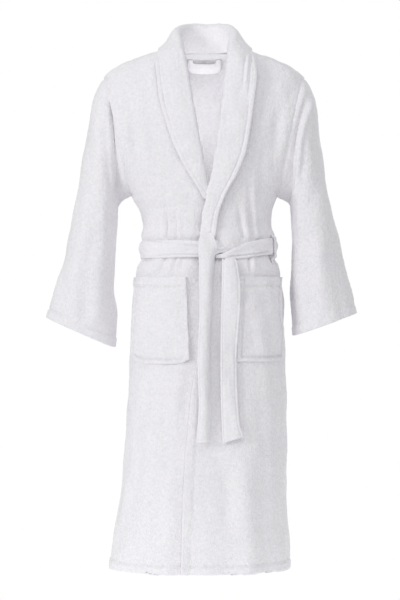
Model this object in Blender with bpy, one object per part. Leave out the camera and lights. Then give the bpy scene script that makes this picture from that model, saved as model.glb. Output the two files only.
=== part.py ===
"""Terry bathrobe with a shawl collar, patch pockets and a tied belt, shaped as if a wearer filled it.

Metres, +Z up. The front faces -Y and +X is the wearer's left. The origin is between the
shoulders, at the height of the seam behind the neck, where a wearer or a hanger carries the robe.
Each sewn piece of cloth is its own closed solid. The body is a stack of flat rings: each ring is
a superellipse whose width and depths come from TORSO, and every panel is a stretch of it.
"""

import math

import bmesh
import bpy
from mathutils import Vector

# Cloth
CLOTH = 0.003            # one layer of terry with its pile pressed
COLLAR_LAYER = 0.002     # the collar's two layers are brushed thinner
GAP = 0.0008             # clearance between pieces that touch
SEAM_ANGLE = 0.004       # keeps front and back apart at the side seam, radians

# Body rings: height, centre, half width, depth to the front, depth to the back
TORSO = (
    (-1.165, -0.009, 0.202, 0.152, 0.142),
    (-1.100, -0.006, 0.196, 0.149, 0.139),
    (-1.000, -0.001, 0.185, 0.145, 0.135),
    (-0.840, 0.005, 0.179, 0.140, 0.131),
    (-0.675, 0.010, 0.175, 0.135, 0.127),
    (-0.560, 0.010, 0.169, 0.129, 0.121),
    (-0.500, 0.011, 0.159, 0.122, 0.114),
    (-0.472, 0.011, 0.149, 0.1145, 0.1075),
    (-0.448, 0.011, 0.147, 0.113, 0.1065),
    (-0.424, 0.011, 0.147, 0.113, 0.1070),
    (-0.395, 0.009, 0.145, 0.114, 0.1085),
    (-0.360, 0.007, 0.149, 0.117, 0.112),
    (-0.325, 0.003, 0.165, 0.121, 0.116),
    (-0.250, 0.003, 0.180, 0.124, 0.118),
    (-0.160, 0.003, 0.200, 0.118, 0.116),
    (-0.100, 0.003, 0.216, 0.104, 0.110),
    (-0.062, 0.003, 0.225, 0.090, 0.101),
    (-0.034, 0.003, 0.197, 0.076, 0.090),
    (-0.016, 0.003, 0.160, 0.067, 0.080),
    (-0.004, 0.003, 0.125, 0.060, 0.072),
    (0.008, 0.003, 0.084, 0.054, 0.062),
)
SQUARENESS = 2.3         # exponent of the rings: 2 is an ellipse
HEM_Z = TORSO[0][0]
NECK_Z = TORSO[-1][0]

# Armholes: ovals from the shoulder tip down to the underarm
TIP_Z = -0.062
UNDERARM_Z = -0.325
TIP_HALF_WIDTH = 0.225
UNDERARM_HALF_WIDTH = 0.165
ARMHOLE_DEPTH = {-1: 0.086, 1: 0.088}    # towards the front, towards the back

# Front edges: height and x. The wearer's left front laps over the right one.
LEFT_EDGE = (
    (-1.165, -0.048), (-1.000, -0.044), (-0.930, -0.0405), (-0.830, -0.032), (-0.760, -0.025),
    (-0.670, -0.011), (-0.460, 0.000), (-0.390, 0.004), (-0.360, 0.008), (-0.315, 0.019),
    (-0.240, 0.035), (-0.170, 0.045), (-0.085, 0.055), (-0.020, 0.062), (0.008, 0.066),
)
RIGHT_EDGE = (
    (-1.165, 0.100), (-0.500, 0.090), (-0.400, 0.060), (-0.345, 0.022), (-0.330, 0.0115),
    (-0.310, 0.004), (-0.250, -0.007), (-0.210, -0.015), (-0.130, -0.030), (-0.050, -0.043),
    (-0.015, -0.049), (0.008, -0.060),
)
SINK = CLOTH + 0.003     # how far the right front drops to pass under the left one
SINK_START = 0.036
SINK_END = 0.006

# Lower front corner, which folds open along a slanting line
CORNER_TOP_Z = -0.930
CORNER_HEM_X = 0.090
CORNER_HINGE_Y = -0.149

# Sleeve rings: place along the sleeve, outer x and z, inner x and z, half depth
SLEEVE = (
    (0.00, 0.2288, -0.062, 0.1688, -0.325, 0.087),
    (0.15, 0.2540, -0.140, 0.1970, -0.350, 0.084),
    (0.30, 0.2690, -0.222, 0.2020, -0.390, 0.080),
    (0.45, 0.2820, -0.305, 0.2020, -0.432, 0.076),
    (0.60, 0.2990, -0.390, 0.2020, -0.485, 0.073),
    (0.75, 0.3160, -0.470, 0.2010, -0.540, 0.070),
    (0.90, 0.3350, -0.548, 0.2020, -0.600, 0.068),
    (1.00, 0.3460, -0.592, 0.2060, -0.642, 0.067),
)
SLEEVE_SPREAD = {1: 0.0, -1: 0.013}      # the right cuff hangs this much further out
SLEEVE_DROP = {1: 0.0, -1: 0.010}        # and this much lower

# Shawl collar round the neck: seam, crest and outer edge, from the centre back forwards
COLLAR_NECK = (
    ((0.000, 0.0565, 0.004), (0.000, 0.0660, 0.070), (0.000, 0.097, 0.008)),
    ((0.033, 0.0510, 0.004), (0.031, 0.0600, 0.069), (0.050, 0.091, 0.006)),
    ((0.062, 0.0300, 0.005), (0.053, 0.0350, 0.064), (0.090, 0.062, 0.007)),
    ((0.0765, 0.000, 0.006), (0.064, 0.0000, 0.048), (0.107, 0.012, 0.0075)),
    ((0.0610, -0.026, 0.006), (0.0570, -0.032, 0.025), (0.111, -0.030, 0.0055)),
)
# Down the front: height of the crest on the front edge, then x and z of the outer edge
COLLAR_FRONT = {
    1: (
        (-0.011, 0.117, -0.044), (-0.050, 0.117, -0.075), (-0.100, 0.112, -0.118),
        (-0.160, 0.103, -0.180), (-0.220, 0.092, -0.235), (-0.280, 0.072, -0.284),
        (-0.330, 0.050, -0.325), (-0.370, 0.035, -0.365), (-0.405, 0.029, -0.402),
        (-0.424, 0.027, -0.423),
    ),
    -1: (
        (-0.011, -0.108, -0.040), (-0.050, -0.103, -0.080), (-0.100, -0.096, -0.118),
        (-0.150, -0.083, -0.165), (-0.200, -0.066, -0.215), (-0.250, -0.045, -0.258),
        (-0.285, -0.025, -0.290), (-0.310, -0.012, -0.313),
    ),
}
EDGE_WRAP = 0.0035       # how far the collar rolls past the front edge
COLLAR_LIFT = 0.0032     # how far its fall stands off the front
CREST_ROLL = 0.008       # width of the roll at the collar's crest
FALL_BULGE = 0.006

# Pockets: inner and outer x on the front, height of the mouth and of the bottom
POCKETS = {1: (0.077, 0.176), -1: (-0.036, -0.156)}
POCKET_MOUTH_Z = -0.510
POCKET_BOTTOM_Z = -0.690
POCKET_GAPE = 0.019

# Belt
BELT_Z = -0.448
BELT_WIDTH = 0.040
BELT_CLOTH = 0.004
BELT_LIFT = 0.003
KNOT_CENTRE = (0.030, -0.139, -0.446)
KNOT_HALF = (0.038, 0.015, 0.019)
TAILS = {                # x at the knot, x at the end, width, height of the end
    "belt_tail_over": (0.008, -0.008, 0.030, -0.872),
    "belt_tail_under": (0.060, 0.064, 0.040, -0.876),
}
TAIL_TOP_Z = -0.4665
TAIL_LIFT = 0.008
LOOP_ANGLES = {"left_belt_loop": -0.32, "right_belt_loop": math.pi - 0.10}
LOOP_WIDTH = 0.012
LOOP_CLOTH = 0.002

# Inside the back of the neck
TAPE_HALF_WIDTH = 0.062
TAPE_BOTTOM_Z = -0.0015
TAPE_TOP_Z = 0.005
TAPE_CLOTH = 0.0015
HANGER_TOP_Z = -0.0065
HANGER_HALF_WIDTH = 0.031
HANGER_DROP = 0.0245     # from the top to the middle of the band's lower run
HANGER_BAND = 0.014
HANGER_CLOTH = 0.004
HANGER_CORNER = 0.013
HANGER_FRONT_Y = 0.0615
HANGER_X = 0.003

WHITE = (0.80, 0.80, 0.83)
SHADED_WHITE = (0.72, 0.72, 0.75)


def keyed(rows, place):
    """The values at a place on a smooth curve through rows of (place, value, ...), with no overshoot."""
    place = min(max(place, rows[0][0]), rows[-1][0])
    i = max(k for k in range(len(rows) - 1) if rows[k][0] <= place)
    step = rows[i + 1][0] - rows[i][0]
    t = (place - rows[i][0]) / step

    def slope(k, column):
        if k in (0, len(rows) - 1):
            return 0.0
        before = (rows[k][column] - rows[k - 1][column]) / (rows[k][0] - rows[k - 1][0])
        after = (rows[k + 1][column] - rows[k][column]) / (rows[k + 1][0] - rows[k][0])
        return 0.0 if before * after <= 0 else 2 * before * after / (before + after)

    values = []
    for column in range(1, len(rows[0])):
        a, b = rows[i][column], rows[i + 1][column]
        values.append(
            a * (1 + 2 * t) * (1 - t) ** 2
            + b * t * t * (3 - 2 * t)
            + slope(i, column) * step * t * (1 - t) ** 2
            - slope(i + 1, column) * step * t * t * (1 - t)
        )
    return values


def smoothstep(low, high, value):
    t = min(max((value - low) / (high - low), 0.0), 1.0)
    return t * t * (3 - 2 * t)


def in_armhole(z):
    return UNDERARM_Z < z < TIP_Z


def armhole_half_width(z):
    up = (z - UNDERARM_Z) / (TIP_Z - UNDERARM_Z)
    return UNDERARM_HALF_WIDTH + (TIP_HALF_WIDTH - UNDERARM_HALF_WIDTH) * up


def armhole_depth(face, z):
    middle = (TIP_Z + UNDERARM_Z) / 2
    half = (TIP_Z - UNDERARM_Z) / 2
    return ARMHOLE_DEPTH[face] * math.sqrt(max(0.0, 1 - ((z - middle) / half) ** 2))


def ring(face, z):
    """Centre, half width and depth of the body's ring at a height. Across the armhole it is wide
    enough to pass through the armhole's oval."""
    centre, half_width, front, back = keyed(TORSO, z)
    depth = front if face < 0 else back
    if in_armhole(z):
        cut = 1 - (armhole_depth(face, z) / depth) ** SQUARENESS
        half_width = armhole_half_width(z) / cut ** (1 / SQUARENESS)
    return centre, half_width, depth


def body_point(face, z, angle):
    """A point of the body's outer surface. The angle is 0 at the wearer's left, and face is -1 at
    the front and 1 at the back."""
    centre, half_width, depth = ring(face, z)
    across = math.copysign(abs(math.cos(angle)) ** (2 / SQUARENESS), math.cos(angle))
    out = abs(math.sin(angle)) ** (2 / SQUARENESS)
    return Vector((centre + half_width * across, face * depth * out, z))


def body_normal(face, z, angle):
    small = 0.002
    along = body_point(face, z, angle + small) - body_point(face, z, angle - small)
    up = body_point(face, z + small, angle) - body_point(face, z - small, angle)
    normal = along.cross(up).normalized()
    return normal if normal.y * face >= 0 else -normal


def lifted(face, z, angle, lift):
    return body_point(face, z, angle) + body_normal(face, z, angle) * lift


def angle_at(face, z, x):
    centre, half_width, _ = ring(face, z)
    across = min(max((x - centre) / half_width, -1.0), 1.0)
    return math.acos(math.copysign(abs(across) ** (SQUARENESS / 2), across))


def side_angle(face, z):
    """Where a panel starts: at the side seam, or at the armhole."""
    if not in_armhole(z):
        return SEAM_ANGLE
    centre, _, _ = ring(face, z)
    return max(SEAM_ANGLE, angle_at(face, z, centre + armhole_half_width(z)))


def left_edge(z):
    return keyed(LEFT_EDGE, z)[0]


def right_edge(z):
    return keyed(RIGHT_EDGE, z)[0]


def right_sink(x, z):
    """How far the right front lies below the body's outer surface."""
    edge = left_edge(z)
    return SINK * smoothstep(edge - SINK_START, edge - SINK_END, x)


def front_point(x, z, lift):
    return lifted(-1, z, angle_at(-1, z, x), lift)


def heights(low, high, steps):
    return [low + (high - low) * k / steps for k in range(steps + 1)]


def panel_heights(low=HEM_Z):
    middle = (TIP_Z + UNDERARM_Z) / 2
    half = (TIP_Z - UNDERARM_Z) / 2
    skirt = [z for z in heights(HEM_Z, CORNER_TOP_Z, 4) if z >= low]
    skirt += heights(CORNER_TOP_Z, -0.500, 7)[1:]
    waist = heights(-0.500, UNDERARM_Z, 6)[1:-1]
    armhole = [middle - half * math.cos(math.pi * k / 9) for k in range(10)]
    shoulder = heights(TIP_Z, NECK_Z, 5)[1:]
    return skirt + waist + armhole + shoulder


def finish_object(name, mesh_builder, colour, origin=(0, 0, 0)):
    """Makes an object whose mesh stands where it was built, with its own origin and material."""
    bmesh.ops.recalc_face_normals(mesh_builder, faces=mesh_builder.faces)
    bmesh.ops.translate(mesh_builder, verts=mesh_builder.verts, vec=-Vector(origin))
    mesh = bpy.data.meshes.new(name)
    mesh_builder.to_mesh(mesh)
    mesh_builder.free()
    mesh.shade_smooth()
    mesh.set_sharp_from_angle(angle=math.radians(40))
    obj = bpy.data.objects.new(name, mesh)
    obj.location = origin
    bpy.context.scene.collection.objects.link(obj)
    material = bpy.data.materials.new(name + "_cloth")
    material.use_nodes = True
    shader = material.node_tree.nodes["Principled BSDF"]
    shader.inputs["Base Color"].default_value = (*colour, 1.0)
    shader.inputs["Roughness"].default_value = 0.95
    shader.inputs["Metallic"].default_value = 0.0
    obj.data.materials.append(material)
    return obj


def layer(name, outer, inner, closed=False, colour=WHITE, origin=(0, 0, 0)):
    """A layer of cloth between two grids of points, given as rows of equal length. A closed layer
    runs round and joins its last column to its first."""
    mesh_builder = bmesh.new()
    grids = []
    for grid in (outer, inner):
        grids.append([[mesh_builder.verts.new(point) for point in row] for row in grid])
    rows, columns = len(outer), len(outer[0])
    spans = columns if closed else columns - 1
    for top in grids:
        for r in range(rows - 1):
            for c in range(spans):
                d = (c + 1) % columns
                mesh_builder.faces.new((top[r][c], top[r][d], top[r + 1][d], top[r + 1][c]))
    first, second = grids
    for c in range(spans):
        d = (c + 1) % columns
        for r in (0, rows - 1):
            mesh_builder.faces.new((first[r][c], first[r][d], second[r][d], second[r][c]))
    if not closed:
        for r in range(rows - 1):
            for c in (0, columns - 1):
                mesh_builder.faces.new((first[r][c], first[r + 1][c], second[r + 1][c], second[r][c]))
    return finish_object(name, mesh_builder, colour, origin)


def sweep(name, loops, colour=WHITE, origin=(0, 0, 0)):
    """A solid through a row of closed loops of equal length, capped at both ends."""
    mesh_builder = bmesh.new()
    rings = [[mesh_builder.verts.new(point) for point in loop] for loop in loops]
    count = len(loops[0])
    for near, far in zip(rings, rings[1:]):
        for k in range(count):
            n = (k + 1) % count
            mesh_builder.faces.new((near[k], near[n], far[n], far[k]))
    mesh_builder.faces.new(rings[0])
    mesh_builder.faces.new(rings[-1])
    return finish_object(name, mesh_builder, colour, origin)


def body_panel(name, face, rows, columns, span, sink=None, origin=(0, 0, 0)):
    """A panel of the body. span gives its first and last angle at a height, and sink how far it
    lies under the body's outer surface."""
    outer, inner = [], []
    for z in rows:
        first, last = span(z)
        angles = [first + (last - first) * k / columns for k in range(columns + 1)]
        drops = [sink(body_point(face, z, a).x, z) if sink else 0.0 for a in angles]
        outer.append([lifted(face, z, a, -d) for a, d in zip(angles, drops)])
        inner.append([lifted(face, z, a, -d - CLOTH) for a, d in zip(angles, drops)])
    return layer(name, outer, inner, origin=origin)


def make_back_panel():
    def span(z):
        start = side_angle(1, z)
        return start, math.pi - start

    body_panel("back_panel", 1, panel_heights(), 16, span)


def corner_line_x(z):
    """The slanting line across the left front, from its edge down to the hem."""
    down = (CORNER_TOP_Z - z) / (CORNER_TOP_Z - HEM_Z)
    top_x = left_edge(CORNER_TOP_Z)
    return top_x + (CORNER_HEM_X - top_x) * down


def make_left_front():
    def span(z):
        end = left_edge(z) if z >= CORNER_TOP_Z else corner_line_x(z)
        return side_angle(-1, z), angle_at(-1, z, end)

    body_panel("left_front_panel", -1, panel_heights(), 10, span)


def make_left_front_corner():
    def span(z):
        start = corner_line_x(z) - GAP
        return angle_at(-1, z, start), angle_at(-1, z, left_edge(z))

    rows = heights(HEM_Z, CORNER_TOP_Z - 0.010, 6)
    hinge = (left_edge(CORNER_TOP_Z), CORNER_HINGE_Y, CORNER_TOP_Z)
    body_panel("left_front_corner", -1, rows, 5, span, origin=hinge)


def make_right_front():
    def span(z):
        return math.pi - side_angle(-1, z), angle_at(-1, z, right_edge(z))

    body_panel("right_front_panel", -1, panel_heights(), 14, span, sink=right_sink)


def sleeve_ring(side, place, thickness):
    """Outline of a sleeve's ring, shrunk by a thickness, from its outer end round by the back."""
    outer_x, outer_z, inner_x, inner_z, half_depth = keyed(SLEEVE, place)
    outer_x += SLEEVE_SPREAD[side] * place
    inner_x += SLEEVE_SPREAD[side] * place
    outer_z -= SLEEVE_DROP[side] * place
    inner_z -= SLEEVE_DROP[side] * place
    centre_x = ring(-1, UNDERARM_Z)[0]
    outer = Vector((side * (outer_x - centre_x) + centre_x, 0, outer_z))
    inner = Vector((side * (inner_x - centre_x) + centre_x, 0, inner_z))
    middle = (outer + inner) / 2
    reach = (outer - inner) / 2
    reach -= reach.normalized() * thickness
    depth = Vector((0, half_depth - thickness, 0))
    turns = [2 * math.pi * k / 20 for k in range(20)]
    return [middle + reach * math.cos(t) + depth * math.sin(t) for t in turns]


def make_sleeve(name, side):
    places = heights(0.0, 1.0, 11)
    outer = [sleeve_ring(side, place, 0.0) for place in places]
    inner = [sleeve_ring(side, place, CLOTH) for place in places]
    centre_x = ring(-1, UNDERARM_Z)[0]
    hinge = (centre_x + side * (TIP_HALF_WIDTH + GAP), 0.0, TIP_Z)
    layer(name, outer, inner, closed=True, origin=hinge)


def collar_neck_row(side, seam, crest, edge):
    """One line across the collar at the neck, from its seam over the crest to its outer edge."""
    flip = Vector((side, 1, 1))
    shift = Vector((ring(1, NECK_Z)[0] + GAP / 2 * side, 0, 0))
    seam, crest, edge = (Vector(point) * flip + shift for point in (seam, crest, edge))
    out = Vector((edge.x - crest.x, edge.y - crest.y, 0)).normalized()
    rolled = crest + out * CREST_ROLL
    row = [seam, (seam + crest) / 2, crest - Vector((0, 0, 0.004)), crest + out * 0.002, rolled]
    for k in range(1, 5):
        t = k / 4
        row.append(rolled.lerp(edge, t) + out * FALL_BULGE * math.sin(math.pi * t))
    return row


def collar_front_row(side, crest_z, edge_x, edge_z):
    """One line across the collar on the front, lying on the panel below it."""
    crest_x = left_edge(crest_z) if side > 0 else right_edge(crest_z)
    fall_lift = COLLAR_LIFT * (1 + smoothstep(-0.080, -0.011, crest_z))

    def on_front(x, z, lift):
        drop = right_sink(x, z) if side < 0 else 0.0
        return front_point(x, z, lift - drop)

    row = []
    for reach, lift in ((1.0, 0.15), (1.05, 0.4), (0.95, 0.65), (0.6, 0.9), (0.0, 1.0)):
        x = crest_x - side * EDGE_WRAP * reach
        row.append(on_front(x, crest_z, fall_lift * lift))
    for k in range(1, 5):
        t = k / 4
        x = crest_x + (edge_x - crest_x) * t
        row.append(on_front(x, crest_z + (edge_z - crest_z) * t, fall_lift))
    return row


def grid_normals(grid, towards):
    """Unit normals of a grid of points, on the side given by a sample direction at its last corner."""
    normals = []
    last = (len(grid) - 1, len(grid[0]) - 1)
    for r in range(last[0] + 1):
        row = []
        for c in range(last[1] + 1):
            down = grid[min(r + 1, last[0])][c] - grid[max(r - 1, 0)][c]
            across = grid[r][min(c + 1, last[1])] - grid[r][max(c - 1, 0)]
            row.append(down.cross(across).normalized())
        normals.append(row)
    flip = 1 if normals[-1][-1].dot(towards) > 0 else -1
    return [[normal * flip for normal in row] for row in normals]


def keep_off_centre(normals):
    """Turns the first row's normals parallel to the centre plane, so that two halves can meet there."""
    normals[0] = [Vector((0, normal.y, normal.z)).normalized() for normal in normals[0]]
    return normals


def make_collar_half(upper_name, under_name, side):
    rows = [collar_neck_row(side, *points) for points in COLLAR_NECK]
    rows += [collar_front_row(side, *points) for points in COLLAR_FRONT[side]]
    normals = keep_off_centre(grid_normals(rows, Vector((0, -1, 0))))

    def raised(lift):
        return [[p + n * lift for p, n in zip(*pair)] for pair in zip(rows, normals)]

    layer(under_name, raised(COLLAR_LAYER), raised(0.0), colour=SHADED_WHITE)
    upper_bottom = COLLAR_LAYER + GAP / 2
    layer(upper_name, raised(upper_bottom + COLLAR_LAYER), raised(upper_bottom))


def make_pocket(name, side):
    """A patch sewn on along its sides and bottom, standing off a little at its mouth."""
    inner_x, outer_x = POCKETS[side]
    outer, inner = [], []
    for z in heights(POCKET_BOTTOM_Z, POCKET_MOUTH_Z, 8):
        up = (z - POCKET_BOTTOM_Z) / (POCKET_MOUTH_Z - POCKET_BOTTOM_Z)
        first, last = angle_at(-1, z, outer_x), angle_at(-1, z, inner_x)
        outer_row, inner_row = [], []
        for k in range(9):
            across = k / 8
            gape = POCKET_GAPE * math.sin(math.pi * across) ** 0.6 * math.sin(up * math.pi / 2) ** 0.7
            angle = first + (last - first) * across
            outer_row.append(lifted(-1, z, angle, GAP + gape + CLOTH))
            inner_row.append(lifted(-1, z, angle, GAP + gape))
        outer.append(outer_row)
        inner.append(inner_row)
    layer(name, outer, inner)


def make_belt_band():
    outer, inner = [], []
    for z in (BELT_Z - BELT_WIDTH / 2, BELT_Z, BELT_Z + BELT_WIDTH / 2):
        rings = ([], [])
        for k in range(44):
            turn = 2 * math.pi * (k + 0.5) / 44
            face = -1 if math.sin(turn) > 0 else 1
            for found, lift in zip(rings, (BELT_LIFT, BELT_LIFT + BELT_CLOTH)):
                point = lifted(face, BELT_Z, turn, lift)
                found.append(Vector((point.x, point.y, z)))
        inner.append(rings[0])
        outer.append(rings[1])
    layer("belt_band", outer, inner, closed=True, colour=SHADED_WHITE)


def make_belt_knot():
    """A pillow-shaped knot with a flat underside, where the tails come out."""
    loops = []
    for k in range(1, 12):
        tilt = math.pi * k / 12
        level = math.copysign(abs(math.cos(tilt)) ** 0.6, math.cos(tilt))
        girth = math.sin(tilt) ** 0.6
        loop = []
        for m in range(16):
            turn = 2 * math.pi * m / 16
            x = math.copysign(abs(math.cos(turn)) ** 0.7, math.cos(turn))
            y = math.copysign(abs(math.sin(turn)) ** 0.7, math.sin(turn))
            size = Vector((x * girth, y * girth, level))
            loop.append(Vector(KNOT_CENTRE) + size * Vector(KNOT_HALF))
        loops.append(loop)
    sweep("belt_knot", loops, colour=SHADED_WHITE)


def make_belt_tail(name):
    top_x, end_x, width, end_z = TAILS[name]
    loops = []
    for z in heights(TAIL_TOP_Z, end_z, 10):
        down = (z - TAIL_TOP_Z) / (end_z - TAIL_TOP_Z)
        x = top_x + (end_x - top_x) * down
        back = min(front_point(x + s * width / 2, z, TAIL_LIFT).y for s in (-1, 0, 1))
        front = back - BELT_CLOTH
        loops.append([
            Vector((x - width / 2, back, z)),
            Vector((x + width / 2, back, z)),
            Vector((x + width / 2, front, z)),
            Vector((x - width / 2, front, z)),
        ])
    hinge = (top_x, loops[0][2].y, TAIL_TOP_Z)
    sweep(name, loops, colour=SHADED_WHITE, origin=hinge)


def make_belt_loop(name, angle):
    """A narrow strip sewn on above and below the belt, which it passes over."""
    turn = abs(angle)
    face = -1
    stand_off = BELT_LIFT + BELT_CLOTH + GAP
    route = (
        (0.036, GAP), (0.029, GAP + 0.001), (0.022, stand_off), (0.0, stand_off),
        (-0.022, stand_off), (-0.029, GAP + 0.001), (-0.036, GAP),
    )
    loops = []
    for rise, lift in route:
        z = BELT_Z + rise
        near = body_point(face, BELT_Z, turn) if lift == stand_off else body_point(face, z, turn)
        normal = body_normal(face, BELT_Z, turn)
        normal.z = 0
        normal.normalize()
        along = Vector((-normal.y, normal.x, 0)) * LOOP_WIDTH / 2
        base = Vector((near.x, near.y, z)) + normal * (lift + 0.0015)
        top = base + normal * LOOP_CLOTH
        loops.append([base - along, base + along, top + along, top - along])
    sweep(name, loops)


def make_neck_tape():
    outer, inner = [], []
    for z in (TAPE_BOTTOM_Z, (TAPE_BOTTOM_Z + TAPE_TOP_Z) / 2, TAPE_TOP_Z):
        first = angle_at(1, z, HANGER_X + TAPE_HALF_WIDTH)
        last = angle_at(1, z, HANGER_X - TAPE_HALF_WIDTH)
        angles = [first + (last - first) * k / 12 for k in range(13)]
        outer.append([lifted(1, z, a, -CLOTH - GAP) for a in angles])
        inner.append([lifted(1, z, a, -CLOTH - GAP - TAPE_CLOTH) for a in angles])
    layer("neck_tape", outer, inner, colour=SHADED_WHITE)


def make_hanger_loop():
    """A flat band that hangs from the neck seam in a U, with its flat inner face turned up."""
    low = HANGER_TOP_Z - HANGER_DROP
    route = [(Vector((-HANGER_HALF_WIDTH, 0, HANGER_TOP_Z)), Vector((1, 0, 0)))]
    for side in (-1, 1):
        corner = Vector((side * (HANGER_HALF_WIDTH - HANGER_CORNER), 0, low + HANGER_CORNER))
        for k in range(7):
            turn = (k if side < 0 else 6 - k) * math.pi / 12
            inward = Vector((-side * math.cos(turn), 0, math.sin(turn)))
            route.append((corner - inward * HANGER_CORNER, inward))
    route.append((Vector((HANGER_HALF_WIDTH, 0, HANGER_TOP_Z)), Vector((-1, 0, 0))))
    loops = []
    for point, inward in route:
        centre = point + Vector((HANGER_X, HANGER_FRONT_Y, 0))
        half = inward * HANGER_BAND / 2
        back = Vector((0, HANGER_CLOTH, 0))
        loops.append([centre - half, centre + half, centre + half + back, centre - half + back])
    hinge = (HANGER_X, HANGER_FRONT_Y, HANGER_TOP_Z)
    sweep("hanger_loop", loops, origin=hinge)


def clear_scene():
    for obj in list(bpy.data.objects):
        bpy.data.objects.remove(obj)


def main():
    clear_scene()
    make_back_panel()
    make_left_front()
    make_left_front_corner()
    make_right_front()
    make_sleeve("left_sleeve", 1)
    make_sleeve("right_sleeve", -1)
    make_collar_half("left_upper_collar", "left_under_collar", 1)
    make_collar_half("right_upper_collar", "right_under_collar", -1)
    make_pocket("left_pocket", 1)
    make_pocket("right_pocket", -1)
    make_belt_band()
    make_belt_knot()
    for name in TAILS:
        make_belt_tail(name)
    for name, angle in LOOP_ANGLES.items():
        make_belt_loop(name, angle)
    make_neck_tape()
    make_hanger_loop()


main()
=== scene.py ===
import math

import bmesh
import bpy
import numpy as np
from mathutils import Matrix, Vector


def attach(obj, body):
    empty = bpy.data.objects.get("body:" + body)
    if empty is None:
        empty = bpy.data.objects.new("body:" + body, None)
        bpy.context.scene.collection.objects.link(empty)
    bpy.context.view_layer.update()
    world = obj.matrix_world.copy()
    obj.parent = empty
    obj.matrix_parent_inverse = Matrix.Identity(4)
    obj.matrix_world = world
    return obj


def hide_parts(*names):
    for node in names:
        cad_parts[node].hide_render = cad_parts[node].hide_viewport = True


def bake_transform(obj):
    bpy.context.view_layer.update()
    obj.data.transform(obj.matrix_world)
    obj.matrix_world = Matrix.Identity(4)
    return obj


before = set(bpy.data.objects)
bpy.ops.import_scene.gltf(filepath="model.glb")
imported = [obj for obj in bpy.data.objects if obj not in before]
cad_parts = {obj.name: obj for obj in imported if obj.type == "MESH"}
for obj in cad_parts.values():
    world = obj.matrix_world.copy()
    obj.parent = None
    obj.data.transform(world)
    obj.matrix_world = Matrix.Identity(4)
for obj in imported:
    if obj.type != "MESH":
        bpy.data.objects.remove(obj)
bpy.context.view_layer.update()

MM = 1000                # millimetres in a metre

# Cloth
TERRY = 0.0044           # one layer of terry with its loops standing
HEM = 0.021              # turned-up hem, from the edge to its stitching
CUFF_HEM = 0.022
FRONT_HEM = 0.020
SEWN_EDGE = 0.0105       # from the edge of the collar or a pocket to its stitching
INSET = 0.0012           # how far the middle of a panel lies under the body's form
PANEL_STEP = 0.0042      # between two rows of a body panel
# Places of the points that round off an open edge, from the edge inwards
EDGE_PLACES = np.array([0.0, 0.0004, 0.0011, 0.0021, 0.0034])

# Body rings: height, centre, half width, depth to the front, depth to the back
TORSO = (
    (-1.165, -0.009, 0.202, 0.152, 0.142),
    (-1.100, -0.006, 0.196, 0.149, 0.139),
    (-1.000, -0.001, 0.185, 0.145, 0.135),
    (-0.840, 0.005, 0.179, 0.140, 0.131),
    (-0.675, 0.010, 0.175, 0.135, 0.127),
    (-0.560, 0.010, 0.169, 0.129, 0.121),
    (-0.500, 0.011, 0.159, 0.122, 0.114),
    (-0.472, 0.011, 0.149, 0.1145, 0.1075),
    (-0.448, 0.011, 0.147, 0.113, 0.1065),
    (-0.424, 0.011, 0.147, 0.113, 0.1070),
    (-0.395, 0.009, 0.145, 0.114, 0.1085),
    (-0.360, 0.007, 0.149, 0.117, 0.112),
    (-0.325, 0.003, 0.165, 0.121, 0.116),
    (-0.250, 0.003, 0.180, 0.124, 0.118),
    (-0.160, 0.003, 0.200, 0.118, 0.116),
    (-0.100, 0.003, 0.216, 0.104, 0.110),
    (-0.062, 0.003, 0.225, 0.090, 0.101),
    (-0.034, 0.003, 0.197, 0.076, 0.090),
    (-0.016, 0.003, 0.160, 0.067, 0.080),
    (-0.004, 0.003, 0.125, 0.060, 0.072),
    (0.008, 0.003, 0.084, 0.054, 0.062),
)
SQUARENESS = 2.3         # exponent of the rings: 2 is an ellipse
HEM_Z = TORSO[0][0]
NECK_Z = TORSO[-1][0]
CENTRE_X = 0.003         # middle of the shoulders
SIDE_ANGLE = 0.002

# Armholes: ovals from the shoulder tip down to the underarm
TIP_Z = -0.062
UNDERARM_Z = -0.325
TIP_HALF_WIDTH = 0.225
UNDERARM_HALF_WIDTH = 0.165
ARMHOLE_DEPTH = {-1: 0.086, 1: 0.088}    # towards the front, towards the back

# Front edges: height and x. The wearer's left front laps over the right one.
LEFT_EDGE = (
    (-1.165, -0.048), (-1.000, -0.044), (-0.930, -0.0405), (-0.830, -0.032), (-0.760, -0.025),
    (-0.670, -0.011), (-0.460, 0.000), (-0.390, 0.006), (-0.360, 0.0115), (-0.315, 0.021),
    (-0.240, 0.035), (-0.170, 0.045), (-0.085, 0.055), (-0.020, 0.062), (0.008, 0.066),
)
RIGHT_EDGE = (
    (-1.165, 0.100), (-0.500, 0.090), (-0.400, 0.050), (-0.360, 0.020), (-0.345, 0.012), (-0.330, 0.0060),
    (-0.310, 0.001), (-0.250, -0.009), (-0.210, -0.0155), (-0.130, -0.030), (-0.050, -0.043),
    (-0.015, -0.049), (0.008, -0.060),
)
SINK = 0.006             # how far the right front drops to pass under the left one
SINK_START = 0.036
SINK_END = 0.006
CORNER_TOP_Z = -0.930    # height of the point on the front edge at the top of the lower front corner
CORNER_Y = -0.149

# Sleeve rings: place along the sleeve, outer x and z, inner x and z, half depth
SLEEVE = (
    (0.00, 0.2288, -0.062, 0.1688, -0.325, 0.087),
    (0.15, 0.2540, -0.140, 0.1990, -0.350, 0.084),
    (0.30, 0.2690, -0.222, 0.2020, -0.390, 0.080),
    (0.45, 0.2820, -0.305, 0.2020, -0.432, 0.076),
    (0.60, 0.2990, -0.390, 0.2020, -0.485, 0.073),
    (0.75, 0.3160, -0.470, 0.2010, -0.540, 0.070),
    (0.90, 0.3350, -0.548, 0.2020, -0.600, 0.068),
    (1.00, 0.3460, -0.592, 0.2060, -0.642, 0.067),
)
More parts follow.
